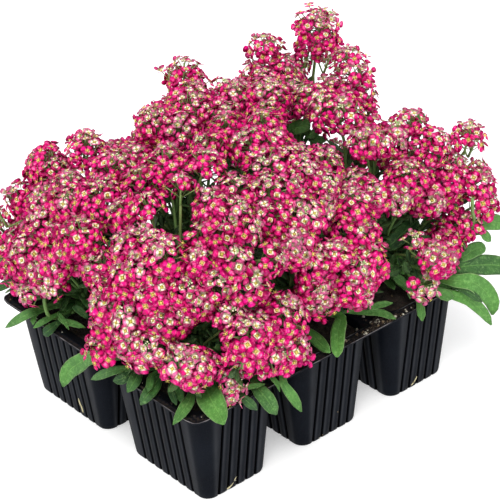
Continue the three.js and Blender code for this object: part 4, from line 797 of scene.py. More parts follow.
def turns_to(normal, spin):
    """Rotations that take +Z to each normal and then spin about it. Columns are the local axes."""
    normal = unit(normal)
    ref = np.where(np.abs(normal[:, 2:3]) < 0.95, UP[None], np.array([[1.0, 0, 0]]))
    x = unit(np.cross(ref, normal))
    y = np.cross(normal, x)
    c, s = np.cos(spin)[:, None], np.sin(spin)[:, None]
    return np.stack([x * c + y * s, y * c - x * s, normal], -1)


# ----------------------------------------------------------------- cell pack
def ring_plan():
    """One cell's section as a list of points that every level shares: (side, place along it, groove depth share) or (corner, k)."""
    plan = []
    for side, grooves in (("+x", GROOVES_Y), ("+y", GROOVES_X), ("-x", GROOVES_Y), ("-y", GROOVES_X)):
        run = []
        for n, g in enumerate(grooves):
            if n:
                run.append(((g + grooves[n - 1]) / 2, -0.16))
            wide = 1.22 if side in ("+x", "-x") else 1.0
            for off, depth in ((-0.98, 0), (-0.74, 0.22), (-0.46, 1), (0.46, 1), (0.74, 0.22), (0.98, 0)):
                run.append((g + off * wide, depth))
        if side in ("+y", "-x"):
            run = run[::-1]
        plan += [(side, u, d) for u, d in run]
        plan += [("c" + side, k, 0) for k in range(9)]
    return plan


PLAN = ring_plan()
NR = len(PLAN)
DEPTH = np.array([max(d, 0) for _, _, d in PLAN], float)
RIB_HIGHLIGHT = np.zeros(NR)  # painted highlight on the lit edge of each rib and along the edges of the corner panels
for n, (kind, u, d) in enumerate(PLAN):
    if kind in ("+x", "-x", "+y", "-y"):
        nearest = min(GROOVES_Y if kind in ("+x", "-x") else GROOVES_X, key=lambda g: abs(g - u))
        RIB_HIGHLIGHT[n] = 0.15 if d < 0 else (1.0 if d == 0 and u > nearest else 0.15 if d == 0 else 0.0)
    else:
        RIB_HIGHLIGHT[n] = {0: 0.8, 8: 0.8, 1: 0.3, 7: 0.3}.get(u, 0.0)
# painted highlight on the rims, strongest on the -y side that faces the light
RIM_HIGHLIGHT = np.array([{"-y": 1.0, "+y": 0.6, "-x": 0.25, "+x": 0.35}.get(kind, 0.15) for kind, _, _ in PLAN])
SIDES = {"+x": (1, 0), "+y": (0, 1), "-x": (-1, 0), "-y": (0, -1)}
CORNERS = {"c+x": (1, 1, 0), "c+y": (-1, 1, 90), "c-x": (-1, -1, 180), "c-y": (1, -1, 270)}


def cell_ring(centre, z, inset=0.0, groove=0.0):
    """The points of PLAN at height z, moved in from the wall by inset."""
    k = (RIM_Z - z) / RIM_Z
    hx = PITCH_X / 2 - MARGIN_X - TAPER * k - inset
    hy = PITCH_Y / 2 - MARGIN_Y - TAPER * k - inset
    r = max(0.8, TOP_R + (BOTTOM_R - TOP_R) * k - inset)
    out = []
    for kind, u, d in PLAN:
        if kind in SIDES:
            sx, sy = SIDES[kind]
            if sx:
                out.append((sx * (hx - d * groove), np.clip(u, -(hy - r), hy - r), z))
            else:
                out.append((np.clip(u - 2.2 * k, -(hx - r), hx - r), sy * (hy - d * groove), z))
        else:
            sx, sy, a0 = CORNERS[kind]
            a = math.radians(a0 + 90 * u / 8)
            out.append((sx * (hx - r) + r * math.cos(a), sy * (hy - r) + r * math.sin(a), z))
    out = np.array(out)
    out[:, :2] += centre
    return out


def bead_ring(centre, z, e):
    """The ridge round a cell's mouth, moved in by e."""
    hx, hy, r = BEAD_X - e, BEAD_Y - e, BEAD_R - e
    out = []
    for kind, u, _ in PLAN:
        if kind in SIDES:
            sx, sy = SIDES[kind]
            out.append((sx * hx, np.clip(u, -(hy - r), hy - r), z) if sx else (np.clip(u, -(hx - r), hx - r), sy * hy, z))
        else:
            sx, sy, a0 = CORNERS[kind]
            a = math.radians(a0 + 90 * u / 8)
            out.append((sx * (hx - r) + r * math.cos(a), sy * (hy - r) + r * math.sin(a), z))
    out = np.array(out)
    out[:, :2] += centre
    return out


def tile_ring(cell, z):
    """The points of PLAN on the border of the cell's share of the flange."""
    centre = cell_centre(cell)
    hx, hy = PITCH_X / 2, PITCH_Y / 2
    tx, ty = PITCH_X / 2 - MARGIN_X - TOP_R, PITCH_Y / 2 - MARGIN_Y - TOP_R
    out = []
    for kind, u, d in PLAN:
        if kind in SIDES:
            sx, sy = SIDES[kind]
            out.append((sx * hx, u) if sx else (u, sy * hy))
        else:
            sx, sy, _ = CORNERS[kind]
            far = {0: None, 1: 7.0, 2: 2.6, 3: 1.1, 4: 0.0, 5: 1.1, 6: 2.6, 7: 7.0, 8: None}[u]
            first_on_x = kind in ("c+x", "c-x")  # the run starts on the x side
            on_x = (u < 4) == first_on_x
            if u == 4:
                out.append((sx * hx, sy * hy))
            elif on_x:
                out.append((sx * hx, sy * (ty if far is None else hy - far)))
            else:
                out.append((sx * (tx if far is None else hx - far), sy * hy))
    out = np.array(out, float) + centre
    return np.column_stack([out, np.full(len(out), z)])


def inside_edge(p, e):
    """Flange border points moved in by e, with the outline's round corners."""
    w, h = PITCH_X * 3, PITCH_Y * 2
    out = p.copy()
    on = (np.abs(p[:, 0]) < 1e-6) | (np.abs(p[:, 0] - w) < 1e-6) | (np.abs(p[:, 1]) < 1e-6) | (np.abs(p[:, 1] - h) < 1e-6)
    q = p[on, :2]
    s = np.column_stack([np.clip(q[:, 0], FLANGE_R, w - FLANGE_R), np.clip(q[:, 1], FLANGE_R, h - FLANGE_R)])
    d = unit(q - s)
    out[on, :2] = s + d * (FLANGE_R - e)
    return out, on


def bridge(b, low, high, tone_low, tone_high, flip=False, keep=None):
    """Quads between two rings of NR points."""
    i = np.arange(NR)
    j = (i + 1) % NR
    q = np.stack([i, j, j + NR, i + NR], -1)
    if keep is not None:
        q = q[keep]
    if flip:
        q = q[:, ::-1]
    tones = np.vstack([np.broadcast_to(tone_low, (NR, 4)), np.broadcast_to(tone_high, (NR, 4))])
    b.add(np.vstack([low, high]), q, 0, tones)


def make_tray():
    b = Build()
    lip = 1.0

    def shade(groove, dust, rim):
        """Tones of one ring: depth in a groove, dust, painted highlight on the rib edges, painted highlight on the
        rims.
        """
        tone = np.zeros((NR, 4))
        tone[:, 0], tone[:, 1], tone[:, 2], tone[:, 3] = DEPTH * groove, dust, RIB_HIGHLIGHT * (groove > 0.7), rim
        return tone

    plain, dusty, carved = shade(0, 0.1, 0), shade(0, 0.9, 0), shade(1, 0.1, 0)
    for cell in CELLS:
        c = cell_centre(cell)
        # from the drain hole out under the floor, up the ribbed wall, to the flange
        drain = cell_ring(c, 0.0, 8.0)
        a = np.arctan2(drain[:, 1] - c[1], drain[:, 0] - c[0])

        def circle(r, z):
            return np.column_stack([c[0] + r * np.cos(a), c[1] + r * np.sin(a), np.full(NR, z)])

        levels = [
            (circle(DRAIN_R + 0.3, 1.1), plain), (circle(DRAIN_R, 0.8), plain), (circle(DRAIN_R, 0.35), plain), (circle(DRAIN_R + 0.5, 0.15), plain),
            (circle(DRAIN_R + 2.6, 0.7), plain), (circle(DRAIN_R + 4.2, 0.7), plain),
            (cell_ring(c, 0.0, 3.6), plain), (cell_ring(c, 0.0, 1.0, 0.1), shade(0.4, 0.3, 0)), (cell_ring(c, 0.3, 0.35, 0.4), shade(1, 0.45, 0.1)),
            (cell_ring(c, 1.2, 0.05, 0.75), shade(1, 0.3, 0)), (cell_ring(c, 4.2, 0.0, GROOVE_D), carved),
            (cell_ring(c, 15, -0.06, GROOVE_D), carved), (cell_ring(c, 28, -0.10, GROOVE_D), carved), (cell_ring(c, 41, -0.06, GROOVE_D), carved),
            (cell_ring(c, 51.4, 0.0, GROOVE_D), carved), (cell_ring(c, 52.6, 0.0, GROOVE_D * 0.9), shade(0.8, 0.1, 0)),
            (cell_ring(c, 53.3, -0.3, GROOVE_D * 0.3), plain), (cell_ring(c, RIM_Z - SHEET, -1.0), plain),
        ]
        for (p, tp), (q, tq) in zip(levels, levels[1:]):
            bridge(b, p, q, tp, tq)
        # under the flange
        under, _ = inside_edge(tile_ring(cell, RIM_Z - SHEET), lip)
        bridge(b, levels[-1][0], under, plain, plain)
        # from the flange's top over the ridge round the mouth and down the inside
        top, on = inside_edge(tile_ring(cell, RIM_Z), lip)
        inner = [
            # the crest of the ridge carries the painted rim highlight
            (top, dusty), (bead_ring(c, RIM_Z, -0.50), shade(0, 0.8, 0)), (bead_ring(c, RIM_Z + 0.22, -0.20), shade(0, 0.3, 0.5 * RIM_HIGHLIGHT)),
            (bead_ring(c, RIM_Z + 0.30, 0.0), shade(0, 0.2, RIM_HIGHLIGHT)), (bead_ring(c, RIM_Z + 0.20, 0.18), shade(0, 0.2, 0.5 * RIM_HIGHLIGHT)), (bead_ring(c, RIM_Z - 0.02, 0.40), shade(0, 0.5, 0)),
            (cell_ring(c, RIM_Z - 0.12, 2.15), shade(0, 0.5, 0.1)), (cell_ring(c, RIM_Z - 0.7, 2.3), plain), (cell_ring(c, RIM_Z - 3.0, 2.35), plain),
            (cell_ring(c, 46, 2.1), plain), (cell_ring(c, 25, WALL), plain),
            (cell_ring(c, 3.4, WALL), plain), (cell_ring(c, 1.6, WALL + 0.7), plain), (cell_ring(c, 1.1, WALL + 3.0), plain), (circle(DRAIN_R + 0.3, 1.1), plain),
        ]
        for (p, tp), (q, tq) in zip(inner, inner[1:]):
            bridge(b, p, q, tp, tq)
        # the thin lip round the outline
        on_edge = on & np.roll(on, -1)
        base = tile_ring(cell, 0.0)

        def edge(e, z):
            p, _ = inside_edge(base, e)
            p[:, 2] = z
            return p

        profile = [
            # the crest of the lip carries the painted rim highlight
            (lip, RIM_Z, dusty), (0.70, RIM_Z + 0.02, shade(0, 0.6, 0)), (0.50, RIM_Z + 0.20, shade(0, 0.2, 0.55)), (0.24, RIM_Z + 0.27, shade(0, 0.2, 1.0)), (0.05, RIM_Z + 0.14, shade(0, 0.2, 0.75)),
            (0.0, RIM_Z - 0.06, shade(0, 0.2, 0.0)), (0.0, RIM_Z - 0.50, plain), (0.2, RIM_Z - 0.70, plain), (0.5, RIM_Z - 0.70, plain), (lip, RIM_Z - SHEET, plain),
        ]
        for (e0, z0, t0), (e1, z1, t1) in zip(profile, profile[1:]):
            bridge(b, edge(e0, z0), edge(e1, z1), t0, t1, keep=on_edge, flip=True)
    b.make("cell_pack_shell", [PLASTIC], "pack_plastic", ["cell_pack"], merge=1e-3)


# ----------------------------------------------------------------------- soil
def rounded(hx, hy, r, n=18):
    """A rounded rectangle round the origin with 4 n points."""
    pts = []
    for sx, sy, a0 in ((1, 1, 0), (-1, 1, 90), (-1, -1, 180), (1, -1, 270)):
        arc = [(sx * (hx - r) + r * math.cos(math.radians(a0 + 90 * k / 6)), sy * (hy - r) + r * math.sin(math.radians(a0 + 90 * k / 6))) for k in range(7)]
        nxt = {0: (-1, 1, 90), 90: (-1, -1, 180), 180: (1, -1, 270), 270: (1, 1, 0)}[a0]
        a1 = math.radians(nxt[2])
        end = (nxt[0] * (hx - r) + r * math.cos(a1), nxt[1] * (hy - r) + r * math.sin(a1))
        run = [tuple(np.array(arc[-1]) + (np.array(end) - np.array(arc[-1])) * (k + 1) / (n - 6)) for k in range(n - 7)]
        pts += arc + run
    return np.array(pts)


def lumps(seed, kinds=4):
    """Crumb templates: jittered icosahedra."""
    g = (1 + 5 ** 0.5) / 2
    v = unit(np.array([(-1, g, 0), (1, g, 0), (-1, -g, 0), (1, -g, 0), (0, -1, g), (0, 1, g), (0, -1, -g), (0, 1, -g), (g, 0, -1), (g, 0, 1), (-g, 0, -1), (-g, 0, 1)], float))
    f = np.array([(0, 11, 5), (0, 5, 1), (0, 1, 7), (0, 7, 10), (0, 10, 11), (1, 5, 9), (5, 11, 4), (11, 10, 2), (10, 7, 6), (7, 1, 8), (3, 9, 4), (3, 4, 2), (3, 2, 6), (3, 6, 8), (3, 8, 9), (4, 9, 5), (2, 4, 11), (6, 2, 10), (8, 6, 7), (9, 8, 1)])
    rng = np.random.default_rng(seed)
    return [v * rng.uniform(0.62, 1.15, (12, 1)) for _ in range(kinds)], f


LUMPS, LUMP_FACES = lumps(4)
RELIEF = Noise(21)


def soil_height(x, y, c):
    p = np.stack([np.asarray(x, float), np.asarray(y, float), np.full(np.shape(x), 3.3)], -1)
    h = 0.75 * RELIEF(p / 7.0) + 0.55 * RELIEF(p / 2.7 + 9) + 0.35 * RELIEF(p / 1.2 + 5)
    r = np.hypot(p[..., 0] - c[0], p[..., 1] - c[1])
    return SOIL_Z + h + 1.1 * np.exp(-((r / 11) ** 2)) - 0.4


def crumbs(b, rng, xyz, size, mat=0, pale=0.06):
    n = len(xyz)
    kind = rng.integers(0, len(LUMPS), n)
    for k, template in enumerate(LUMPS):
        at = kind == k
        m = int(at.sum())
        if not m:
            continue
        turn = turns_to(rng.normal(size=(m, 3)), rng.uniform(0, 6.28, m))
        scale = size[at][:, None, None] * rng.uniform(0.6, 1.25, (m, 1, 3))
        tone = np.zeros((m, 12, 4))
        tone[..., 2] = np.where(rng.uniform(size=m) < pale, rng.uniform(0.8, 1.0, m), rng.uniform(0, 0.75, m))[:, None]
        copies(b, template, [LUMP_FACES], [mat], tone, turn, scale, xyz[at])


def make_soil(k):
    cell = CELLS[k]
    c = cell_centre(cell)
    rng = np.random.default_rng(300 + k)
    b = Build()
    q = (RIM_Z - SOIL_Z) / RIM_Z
    side = lambda z, inset: rounded(PITCH_X / 2 - MARGIN_X - TAPER * (RIM_Z - z) / RIM_Z - inset, PITCH_Y / 2 - MARGIN_Y - TAPER * (RIM_Z - z) / RIM_Z - inset, max(2.0, TOP_R + (BOTTOM_R - TOP_R) * (RIM_Z - z) / RIM_Z - inset))
    rim = side(SOIL_Z, 2.35)
    n = len(rim)
    rings, tones = [], []
    shares = np.linspace(0.06, 1.0, 17) ** 0.85
    for s in shares:
        xy = rim * s + c
        z = soil_height(xy[:, 0], xy[:, 1], c) - 0.9 * smoothstep(0.9, 1.0, s)
        rings.append(np.column_stack([xy, z]))
    for z, inset in ((SOIL_Z - 2.4, 2.3), (30.0, WALL + 0.35), (3.6, WALL + 0.35), (1.5, WALL + 1.6)):
        xy = side(z, inset) + c
        rings.append(np.column_stack([xy, np.full(n, z)]))
    v = np.vstack(rings)
    m = len(rings)
    i = np.arange(m - 1)[:, None] * n
    j = np.arange(n)[None]
    e = (j + 1) % n
    quads = np.stack([i + j, i + n + j, i + n + e, i + e], -1).reshape(-1, 4)
    top = np.array([[c[0], c[1], soil_height(c[0], c[1], c)]])
    low = np.array([[c[0], c[1], 1.5]])
    v = np.vstack([v, top, low])
    t0, l0 = m * n, m * n + 1
    jj = np.arange(n)
    fan = np.stack([jj, (jj + 1) % n, np.full(n, t0)], -1)
    base = (m - 1) * n
    under = np.stack([base + (jj + 1) % n, base + jj, np.full(n, l0)], -1)
    tone = np.zeros((len(v), 4))
    tone[:, 2] = 0.3
    b.add(v, [quads, fan, under], 0, tone)
    # crumbs on the surface
    count = 150
    u = rng.uniform(-1, 1, (count, 2)) * np.array([PITCH_X / 2 - MARGIN_X - 3.6, PITCH_Y / 2 - MARGIN_Y - 3.6])
    xy = u + c
    size = rng.uniform(0.35, 1.0, count) ** 1.6 * 1.35
    z = soil_height(xy[:, 0], xy[:, 1], c) + size * 0.35
    crumbs(b, rng, np.column_stack([xy, z]), size, pale=0.10)
    b.make("soil_" + NAMES[k] + "_plug", [SOIL], "soil", ["soil_" + NAMES[k]])


def make_spill():
    """Loose soil and straw on the flange and on the foot of the walls."""
    rng = np.random.default_rng(77)
    b = Build()
    pts = []
    while len(pts) < 620:
        x, y = rng.uniform(1.6, PITCH_X * 3 - 1.6), rng.uniform(1.6, PITCH_Y * 2 - 1.6)
        fx, fy = x % PITCH_X - PITCH_X / 2, y % PITCH_Y - PITCH_Y / 2
        if abs(fx) < PITCH_X / 2 - MARGIN_X and abs(fy) < PITCH_Y / 2 - MARGIN_Y:
            continue
        if RELIEF(np.array([x / 9.0, y / 9.0, 1.0])) < rng.uniform(-0.5, 0.3):
            continue
        pts.append((x, y))
    xy = np.array(pts)
    size = rng.uniform(0.3, 1.0, len(xy)) ** 2 * 0.85 + 0.12
    crumbs(b, rng, np.column_stack([xy, np.full(len(xy), RIM_Z) + size * 0.3]), size, pale=0.16)
    # a heavier spill where the middle and the right cell meet
    pts = []
    while len(pts) < 360:
        x, y = rng.normal(117, 11), rng.uniform(0.9, 8.0)
        fx, fy = x % PITCH_X - PITCH_X / 2, y % PITCH_Y - PITCH_Y / 2
        if abs(fx) < PITCH_X / 2 - MARGIN_X and abs(fy) < PITCH_Y / 2 - MARGIN_Y:
            continue
        pts.append((x, y))
    xy = np.array(pts)
    size = rng.uniform(0.3, 1.0, len(xy)) ** 1.6 * 0.80 + 0.14
    crumbs(b, rng, np.column_stack([xy, np.full(len(xy), RIM_Z) + size * 0.3]), size, pale=0.30)
    for x, y, z in ((28.3, 9.9, 4.4), (26.4, 10.2, 2.2), (25.2, 10.4, 1.2), (85.2, 10.4, 1.6), (83.0, 10.5, 0.9), (88.1, 9.6, 8.6), (94.0, 9.2, 11.5), (147.0, 10.2, 3.4)):
        s = np.array([rng.uniform(0.4, 0.75)])
        crumbs(b, rng, np.array([[x, y, z]]), s, pale=1.0)
    for path, r in (
        (((9.9, 108.6, 12.4), (9.6, 108.0, 9.5), (10.1, 107.2, 6.4), (10.3, 106.9, 3.4)), 0.42),
        (((29.2, 9.7, 6.2), (27.5, 9.8, 4.6), (26.6, 10.0, 3.0), (24.6, 10.2, 1.6), (23.2, 10.6, 1.2)), 0.36),
        (((149.4, 9.8, 5.6), (147.6, 9.9, 3.4), (145.6, 10.2, 1.6)), 0.45),
    ):
        p = spline(path, 10)
        tube(b, p, r * np.concatenate([[0.5], np.ones(8), [0.4]]), 5, 1, np.zeros((10, 4)))
    b.make("spilled_soil", [SOIL, STRAW], "soil")


# --------------------------------------------------------------------- leaves
def blade(b, pts, half, rng, fold=0.2, wave=0.5, widths=None, rnd=0.5, thick=0.42, ns=7, twist=0.0, face=None):
    """A closed leaf along a path: the upper face has ns points across, the lower face runs back under it."""
    m = len(pts)
    t = np.linspace(0, 1, m)
    tan = unit(np.gradient(pts, axis=0))
    flat = unit(np.array([tan[:, 0].mean(), tan[:, 1].mean(), 0.0]))
    side = unit(np.array([-flat[1], flat[0], 0.0]))
    side = unit(side[None] - tan * (tan @ side)[:, None])
    if face is not None:
        side = unit(np.cross(face[None] - 0.985 * tan * (tan @ face)[:, None], tan))
    nrm = np.cross(tan, side)
    tw = twist * smoothstep(0.2, 1.0, t)[:, None]
    side, nrm = side * np.cos(tw) + nrm * np.sin(tw), nrm * np.cos(tw) - side * np.sin(tw)
    w = half * np.interp(t, *(widths or ((0, .12, .26, .40, .54, .68, .80, .90, .965, 1), (.15, .17, .34, .66, .90, 1.0, .93, .70, .40, .06))))
    s = np.linspace(-1, 1, ns)
    phase = rng.uniform(0, 6.28, 2)
    lift = fold * np.abs(s)[None] ** 1.4 * w[:, None]
    lift = lift + wave * (w / half)[:, None] * np.abs(s)[None] ** 2 * np.sin(t[:, None] * 9 + phase[0] + np.sign(s)[None] * phase[1])
    top = pts[:, None] + side[:, None] * (s[None] * w[:, None])[..., None] + nrm[:, None] * lift[..., None]
    body = thick * (0.25 + 0.75 * (1 - np.abs(s[1:-1]))) * (0.4 + 0.6 * np.minimum(1, (w / half)[:, None] * 1.5))
    low = top[:, 1:-1] - nrm[:, None] * body[..., None]
    ring = np.concatenate([top, low[:, ::-1]], axis=1)
    k = ring.shape[1]
    tone = np.zeros((m, k, 4))
    tone[..., 0] = t[:, None]
    sides = np.concatenate([np.abs(s), np.abs(s[1:-1])[::-1]])
    tone[..., 1] = sides[None]
    tone[..., 2] = rnd
    tone[:, :ns, 3] = 1.0
    i = np.arange(m - 1)[:, None] * k
    j = np.arange(k)[None]
    e = (j + 1) % k
    quads = np.stack([i + j, i + k + j, i + k + e, i + e], -1).reshape(-1, 4)
    caps = np.array([np.arange(k), (np.arange(k) + (m - 1) * k)[::-1]])
    b.add(ring.reshape(-1, 3), [quads, caps], 0, tone.reshape(-1, 4))


FACE = unit((-0.54, -0.66, 0.62))  # the big leaves turn to the light


# stalks that stand in the open, from the crown into a head: plant, radius, points
STALKS = (
    (3, 1.15, ((5.0, 117.3, 57.5), (2.3, 116.9, 63.0), (3.2, 119.0, 68.0), (3.8, 119.0, 74.0))),
    (5, 0.95, ((167.1, 101.0, 128.7), (167.1, 101.0, 136.6), (168.9, 101.0, 146.1), (171.0, 101.0, 155.4), (172.4, 101.0, 163.7))),
    (2, 1.10, ((180.7, 1.4, 84.0), (176.5, -2.1, 95.0), (171.5, -6.7, 106.0))),
)


def leaf_root(k, first):
    """Where a leaf starts: on the crown, or for a high one on a twig near it."""
    cx, cy = cell_centre(CELLS[k])
    crown = np.array([cx, cy, SOIL_Z + 2.2])
    d = np.asarray(first, float) - crown
    if first[2] > RIM_Z + 9:
        return np.asarray(first, float) - unit(d) * min(11.0, 0.5 * np.linalg.norm(d)) - UP * 1.5, True
    return crown + unit((d[0], d[1], 0.0)) * 1.6, False


def make_leaves(k):
    cell = CELLS[k]
    cx, cy = cell_centre(cell)
    rng = np.random.default_rng(500 + k)
    b = Build()
    for plant, half, tint, blunt, points in LEAVES:
        if plant != k:
            continue
        root, high = leaf_root(k, points[0])
        first = np.array(points[0])
        pts = [root] if high else [root, (root + first) / 2 + UP * (2.4 + 0.10 * max(0, first[2] - RIM_Z))]
        hidden = np.linalg.norm(first - root)
        seen = sum(np.linalg.norm(np.subtract(q, p)) for p, q in zip(points, points[1:]))
        v = hidden / (hidden + seen)
        xs = (0, v * 0.5, v * 0.85, v, v + (1 - v) * 0.22, v + (1 - v) * 0.45, v + (1 - v) * 0.65, v + (1 - v) * 0.82, v + (1 - v) * 0.94, 1)
        ws = (0.16, 0.22, 0.50, 0.66, 0.90, 1.0, 0.90 + 0.06 * blunt, 0.64 + 0.24 * blunt, 0.33 + 0.36 * blunt, 0.05 + 0.22 * blunt)
        big = half > 3.5
        blade(b, spline([tuple(p) for p in pts] + list(points), 22 if big else 16), half, rng, fold=rng.uniform(0.06, 0.20), wave=rng.uniform(0.15, 0.4), widths=(xs, ws), rnd=tint, ns=9 if big else 7, twist=rng.uniform(-0.15, 0.15), face=FACE)
    # shorter leaves that fill the mouth of the cell
    for n in range(13):
        a = n * GOLDEN + rng.uniform(-0.3, 0.3) + k
        r = rng.uniform(13, 23)
        u = np.array([math.cos(a), math.sin(a)])
        reach = min(r, 0.86 * min((PITCH_X / 2 - 2) / max(abs(u[0]), 0.01), (PITCH_Y / 2 - 2) / max(abs(u[1]), 0.01)))
        z = rng.uniform(3, 17)
        pts = [(cx + u[0] * 1.4, cy + u[1] * 1.4, SOIL_Z + 2), (cx + u[0] * reach * 0.35, cy + u[1] * reach * 0.35, SOIL_Z + 4 + z * 0.55), (cx + u[0] * reach * 0.72, cy + u[1] * reach * 0.72, RIM_Z + z), (cx + u[0] * reach, cy + u[1] * reach, RIM_Z + z * 0.86)]
        blade(b, spline(pts, 10), rng.uniform(2.4, 4.0), rng, fold=0.25, wave=0.3, rnd=rng.uniform(0.1, 0.6), ns=5, twist=rng.uniform(-0.4, 0.4))
    b.make("plant_" + NAMES[k] + "_leaf_blades", [LEAF], "leaf", ["plant_" + NAMES[k] + "_leaves"])


# -------------------------------------------------------------- flower heads
FLORET = 3.62  # radius of an open flower


def floret_size(depth):
    """Floret radius at a depth below the head's apex."""
    return FLORET * (0.70 + 0.30 * smoothstep(0.0, 4.0, depth))


class Head:
    def __init__(self, n, row):
        x, y, z, self.plant, self.group, self.form, rx, self.low, lean = row
        self.rx = rx + 0.5
        self.rng = rng = np.random.default_rng(1000 + n)
        self.rz = 0.92 * self.rx
        dome, band = self.rx * self.rz, self.rx * self.low
        self.share = dome / (dome + band)
        cover = (1.32, 1.08, 1.12)[self.form] * (1 - 0.10 * smoothstep(122, 150, z))
        # florets open from the bottom up, so they are smaller and closer near the apex
        self.a = np.linspace(0, 1, 200)
        depth = np.where(self.a < self.share, self.rz * self.a / self.share, self.rz + self.low * (self.a - self.share) / (1 - self.share))
        self.weight = np.cumsum(1 / floret_size(depth) ** 2)
        self.count = int(round(2 * math.pi * (dome + band) * cover / math.pi * self.weight[-1] / 200))
        self.apex = np.array([x, y, z])
        cx, cy = cell_centre(CELLS[self.plant])
        out = np.array([x - cx, y - cy, 0.0])
        reach = np.linalg.norm(out)
        out = out / max(reach, 1e-6) * min(1.0, reach / 14)
        lean = min(lean, 0.85 - 0.5 * smoothstep(128, 150, z))
        self.axis = unit(out * lean + UP * (1 - lean) + rng.normal(0, 0.03, 3))
        self.centre = self.apex - self.axis * self.rz
        self.tint = rng.uniform(-0.18, 0.18)


HEAD_LIST = [Head(n, row) for n, row in enumerate(HEADS)]
CENTRES = np.array([h.centre for h in HEAD_LIST])


def petal_template():
    """One closed petal along +X of a floret of radius 1; rounded blade on a narrow claw."""
    edge = [(0.10, -0.08), (0.33, -0.32), (0.64, -0.56), (0.92, -0.40), (1.0, 0.0), (0.92, 0.40), (0.64, 0.56), (0.33, 0.32), (0.10, 0.08)]
    v = [(x, y, 0.10 * x - 0.02 * (abs(y) / 0.5)) for x, y in edge] + [(0.42, 0.0, 0.085), (0.72, 0.0, 0.105)]
    top = [(1, 2, 10), (1, 10, 9), (2, 3, 10), (3, 4, 10), (4, 5, 10), (5, 6, 10), (6, 7, 10), (7, 9, 10), (7, 8, 9), (8, 0, 9), (0, 1, 9)]
    low = [(0, 8, 1), (1, 8, 7), (1, 7, 2), (2, 7, 6), (2, 6, 3), (3, 6, 5), (3, 5, 4)]
    rim = [0.0, 0.8, 1, 1, 1, 1, 1, 0.8, 0.0, 0, 0]
    return np.array(v, float), np.array(top + low), np.array(rim)


def floret_template():
    pv, pf, rim = petal_template()
    verts, faces, tone, petal = [], [], [], []
    for q in range(4):
        a = math.radians(90 * q)
        rot = np.array([(math.cos(a), -math.sin(a), 0), (math.sin(a), math.cos(a), 0), (0, 0, 1)])
        verts.append(pv @ rot.T)
        faces.append(pf + q * len(pv))
        tone.append(np.column_stack([pv[:, 0], rim]))
        petal += [q] * len(pv)
    nv = 4 * len(pv)
    cv = [(0.19 * math.cos(a), 0.19 * math.sin(a), 0.08) for a in np.radians((45, 135, 225, 315))] + [(0, 0, 0.25), (0, 0, -0.10)]
    ct = [(0.1, 0.9)] * 4 + [(0.0, 0.0), (0.0, 0.2)]
    cf = []
    for q in range(4):
        e = (q + 1) % 4
        cf += [(q, e, 4), (e, q, 5)]
    # four anthers between the petals
    for q in range(4):
        a = math.radians(90 * q + 45)
        c, s, m = math.cos(a), math.sin(a), len(cv)
        for along, across, z in ((0.16, 0.05, 0.20), (0.16, -0.05, 0.20), (0.27, 0.0, 0.22), (0.20, 0.0, 0.36)):
            cv.append((along * c - across * s, along * s + across * c, z))
            ct.append((0.0, 1.0))
        cf += [(m, m + 2, m + 3), (m + 2, m + 1, m + 3), (m + 1, m, m + 3), (m, m + 1, m + 2)]
    verts.append(np.array(cv))
    tone.append(np.array(ct))
    petal += [-1] * len(cv)
    return np.vstack(verts), np.vstack(faces), np.array(cf) + nv, np.vstack(tone), np.array(petal)


FV, FF, FC, FT, FP = floret_template()


def florets_of(h):
    """Places, normals, sizes, age and paleness of a head's florets."""
    rng = h.rng
    n = h.count
    a = np.interp((np.arange(n) + 0.6) / n, h.weight / h.weight[-1], h.a)
    phi = np.arange(n) * GOLDEN + rng.uniform(0, 6.28)
    up = a < h.share
    ct = np.where(up, 1 - a / h.share, 0.0)
    st = np.sqrt(1 - ct ** 2)
    down = np.where(up, 0.0, (a - h.share) / (1 - h.share))
    r = h.rx * st * (1 - 0.16 * down) + rng.normal(0, 0.55, n)
    along = np.where(up, h.rz * ct, -h.low * down) + rng.normal(0, 0.45, n)
    side = unit(np.cross(h.axis, (0.3, 0.9, 0.2)))
    other = np.cross(h.axis, side)
    radial = side[None] * np.cos(phi)[:, None] + other[None] * np.sin(phi)[:, None]
    p = h.centre + radial * r[:, None] + h.axis[None] * along[:, None]
    normal = unit(radial * st[:, None] + h.axis[None] * (ct + 0.20)[:, None] + UP[None] * 0.15 + rng.normal(0, 0.26, (n, 3)))
    depth = np.where(up, h.rz * (1 - ct), h.rz + h.low * down)  # below the apex
    size = floret_size(depth) * rng.uniform(0.86, 1.12, n) * (1 - 0.08 * smoothstep(125, 150, h.apex[2]))
    pale = np.clip(1.0 - depth / 4.8, 0, 1) + rng.normal(0.05, 0.13, n) + (0.42 if h.form == 2 else 0.0) + h.tint * 0.5
    # open only where no neighbour's head is in the way
    keep = p[:, 2] > RIM_Z - 8
    near = np.where(np.linalg.norm(CENTRES - h.centre, axis=1) < 34)[0]
    for q in near:
        o = HEAD_LIST[q]
        if o is h:
            continue
        d = p - o.centre
        up_o = d @ o.axis
        rad = np.linalg.norm(d - up_o[:, None] * o.axis, axis=1)
        inside = ((rad / o.rx) ** 2 + (np.maximum(up_o, 0) / o.rz) ** 2 < 0.70 ** 2) & (up_o > -o.low * 0.8)
        keep &= ~inside
    out = [x[keep] for x in (p, normal, size, depth, np.clip(pale, 0, 1), along, radial)]
    return out


